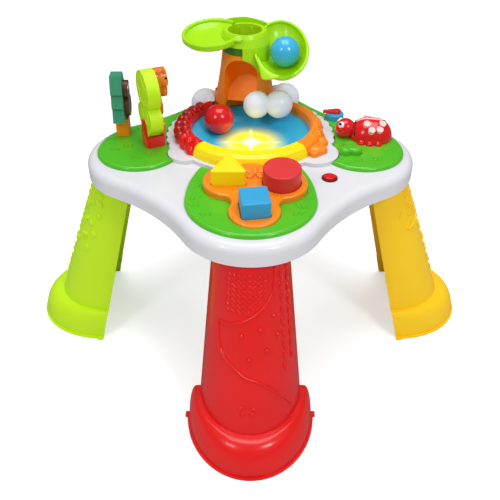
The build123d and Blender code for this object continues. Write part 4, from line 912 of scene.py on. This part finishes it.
# %% Right leaf: corner
INNER_HALF_WIDTH, INNER_HALF_LENGTH, INNER_RISE = 0.038, 0.061, 0.0005
CORNER_HALF_THICK = 0.0024
corner_line = [(0.0105, 0.0965, 0.4255), (0.0130, 0.0830, 0.4165), (0.0162, 0.0670, 0.4070),
               (0.0200, 0.0625, 0.4050), (0.0300, 0.0590, 0.4065), (0.0430, 0.0570, 0.4090)]
outer = curve_through(corner_line, 60)
b = np.radians(np.linspace(288, 352, 60))
x, y = INNER_HALF_WIDTH * np.sin(b), -INNER_HALF_LENGTH * np.cos(b)
inner = LEAF_AT + np.stack([x, y * math.cos(LEAF_TIP), y * math.sin(LEAF_TIP) + INNER_RISE], -1)
half, middle = (outer - inner) / 2, (outer + inner) / 2
thick = CORNER_HALF_THICK * unit(np.cross(half, np.gradient(middle, axis=0)))
c = np.linspace(0, 2 * np.pi, 24, endpoint=False)[None, :, None]
corner = middle[:, None] + np.cos(c) * half[:, None] + np.sin(c) * thick[:, None]
piece("leaf_corner", [corner], canopy_lime)

# %% [markdown]
# ## Rolled lip of the tray
# The left leaf is a round tray that tilts two ways, and its lip runs on along the neck
# and fades out. Two pieces could meet at the neck, but the joint would show. So one path
# is drawn: the circle, turned about Y and then about X, as far as the neck, and then an
# arc round the neck.

# %% Tray lip
TRAY_AT, TRAY_RADIUS, TRAY_RISE = np.array([-0.062, 0.138, 0.445]), 0.0452, 0.0074
TILT_X, TILT_Y = math.radians(8), math.radians(-4)
NECK_RADIUS = 0.0408
ARC_END, ARC_END_HEIGHT = math.radians(264), 0.4520

x, y, z = TRAY_RADIUS * np.cos(round_rim), TRAY_RADIUS * np.sin(round_rim), TRAY_RISE
x, z = x * math.cos(TILT_Y) + z * math.sin(TILT_Y), -x * math.sin(TILT_Y) + z * math.cos(TILT_Y)
y, z = y * math.cos(TILT_X) - z * math.sin(TILT_X), y * math.sin(TILT_X) + z * math.cos(TILT_X)
rim = TRAY_AT + np.stack([x, y, z], -1)
rim = rim[outside_neck(rim, 0.0415)]
meets = math.atan2(rim[-1, 1] - TOWER_AT[1], rim[-1, 0] - TOWER_AT[0]) % (2 * math.pi)
b = np.linspace(meets, ARC_END, 6)[1:]
onward = np.stack([TOWER_AT[0] + NECK_RADIUS * np.cos(b), TOWER_AT[1] + NECK_RADIUS * np.sin(b),
                   np.linspace(rim[-1, 2], ARC_END_HEIGHT, 6)[1:]], -1)
track = curve_through(np.concatenate([rim[::12], rim[-1:], onward]), 220)
piece("tray_lip", [rib(track, (0, 0, 1), 0.0031, 1.0, 16)], canopy_lime)

# %% [markdown]
# ## Studio floor
# The table stands on pale paper. Strong lamps could make it white, but they would wash
# out the table too. So the paper gives out a little light itself, only where the camera
# sees it, and keeps the table's shadow. In reflections it is darker, so that glossy
# plastics keep their deep colours.

# %% Floor
PAPER, PAPER_IN_GLOSS = (0.80, 0.80, 0.80, 1), (0.22, 0.22, 0.22, 1)
FLOOR_HALF, PAPER_LIFT = 6, 0.45

corners = FLOOR_HALF * np.array([[-1, -1, 0], [1, -1, 0], [1, 1, 0], [-1, 1, 0]], float)
floor_mesh = bpy.data.meshes.new("floor")
floor_mesh.from_pydata(corners.tolist(), [], [(0, 1, 2, 3)])
floor = bpy.data.objects.new("floor", floor_mesh)
bpy.context.scene.collection.objects.link(floor)
paper = bpy.data.materials.new("studio paper")
paper.use_nodes = True
tree = paper.node_tree
sheet = tree.nodes["Principled BSDF"]
sheet.inputs["Roughness"].default_value = 0.9
sheet.inputs["Specular IOR Level"].default_value = 0.1
sheet.inputs["Emission Color"].default_value = (1, 1, 1, 1)
seen = add(tree, "LightPath")
lift = add(tree, "Math", {1: PAPER_LIFT}, operation="MULTIPLY")
tone = add(tree, "Mix", {6: PAPER, 7: PAPER_IN_GLOSS}, data_type="RGBA")
link(tree, (seen, "Is Camera Ray", lift, 0), (lift, 0, sheet, "Emission Strength"),
     (seen, "Is Glossy Ray", tone, 0), (tone, 2, sheet, "Base Color"))
floor_mesh.materials.append(paper)
print("floor:", 2 * FLOOR_HALF, "m square")

# %% [markdown]
# ## Studio lights
# A toy is shown in soft light from all round. A sun lamp would draw hard shadows, so
# there is one large soft light overhead and a smaller one on each side in front, whose
# reflections are the bright spots on the balls and the legs.

# %% Lights
TABLE_MIDDLE = (0, 0, 0.2)


def facing(at, target):
    """Turn that points a lamp or camera, which looks down its own -Z, at a target: the
    pitch is the way's angle from straight down, and the yaw turns it about +Z."""
    way = np.subtract(target, at)
    pitch = math.atan2(math.hypot(way[0], way[1]), -way[2])
    return Euler((pitch, 0, math.atan2(way[1], way[0]) - math.pi / 2))


def soft_light(name, at, width, height, power):
    """Rectangular area light that faces the middle of the table."""
    data = bpy.data.lights.new(name, "AREA")
    data.shape = "RECTANGLE"
    data.size, data.size_y = width, height
    data.energy = power
    softbox = bpy.data.objects.new(name, data)
    softbox.location = at
    softbox.rotation_euler = facing(at, TABLE_MIDDLE)
    bpy.context.scene.collection.objects.link(softbox)
    return data


soft_light("overhead", (0, 0.3, 2.6), 1.6, 1.6, 31).specular_factor = 0.5
soft_light("left front", (-1.3, -1.6, 1.9), 0.5, 0.7, 11)
soft_light("right front", (1.1, -1.5, 2.0), 0.45, 0.6, 15)
print("lights:", len(bpy.data.lights))

# %% [markdown]
# ## Studio walls
# The room beyond the floor is white too. One strength for all rays would leave the
# backdrop grey or light the table too much. So the world has three: white where the
# camera sees it, less as light on the table, and little in reflections.

# %% World
WALL_SEEN, WALL_LIGHT, WALL_IN_GLOSS = 1.0, 0.56, 0.08

world = bpy.data.worlds.new("studio")
bpy.context.scene.world = world
world.use_nodes = True
tree = world.node_tree
tree.nodes.clear()
backdrop, ambient, mirrored = (
    add(tree, "Background", Color=(1, 1, 1, 1), Strength=strength)
    for strength in (WALL_SEEN, WALL_LIGHT, WALL_IN_GLOSS))
paths = add(tree, "LightPath")
by_eye = add(tree, "MixShader")
by_gloss = add(tree, "MixShader")
world_out = add(tree, "OutputWorld")
link(tree,
     (paths, "Is Glossy Ray", by_gloss, 0), (ambient, 0, by_gloss, 1), (mirrored, 0, by_gloss, 2),
     (paths, "Is Camera Ray", by_eye, 0), (by_gloss, 0, by_eye, 1), (backdrop, 0, by_eye, 2),
     (by_eye, 0, world_out, 0))
print("world:", world.name)

# %% [markdown]
# ## Camera
# The table is seen from near by and from above, so its front leg looks large. A Track To
# constraint could aim the camera, but it can't tilt it, and this one leans by a third of
# a degree. So the turn is worked out: first the aim, then a roll about the line of sight.

# %% Camera
CAMERA_AT, LOOKS_AT = (-0.0056, -0.8955, 0.8012), (0.0, 0.0, 0.1211)
CAMERA_ROLL = math.radians(0.31)

camera_data = bpy.data.cameras.new("camera")
camera_data.sensor_width, camera_data.lens = 36.0, 46.53
camera_data.clip_start = 0.05
camera = bpy.data.objects.new("camera", camera_data)
camera.location = CAMERA_AT
camera.rotation_mode = "QUATERNION"
aim = facing(CAMERA_AT, LOOKS_AT)
camera.rotation_quaternion = aim.to_quaternion() @ Quaternion((0, 0, 1), CAMERA_ROLL)
bpy.context.scene.collection.objects.link(camera)
bpy.context.scene.camera = camera
bpy.context.scene.view_settings.view_transform = "Standard"
print("camera at", CAMERA_AT, "pitch", round(math.degrees(aim.x), 2))
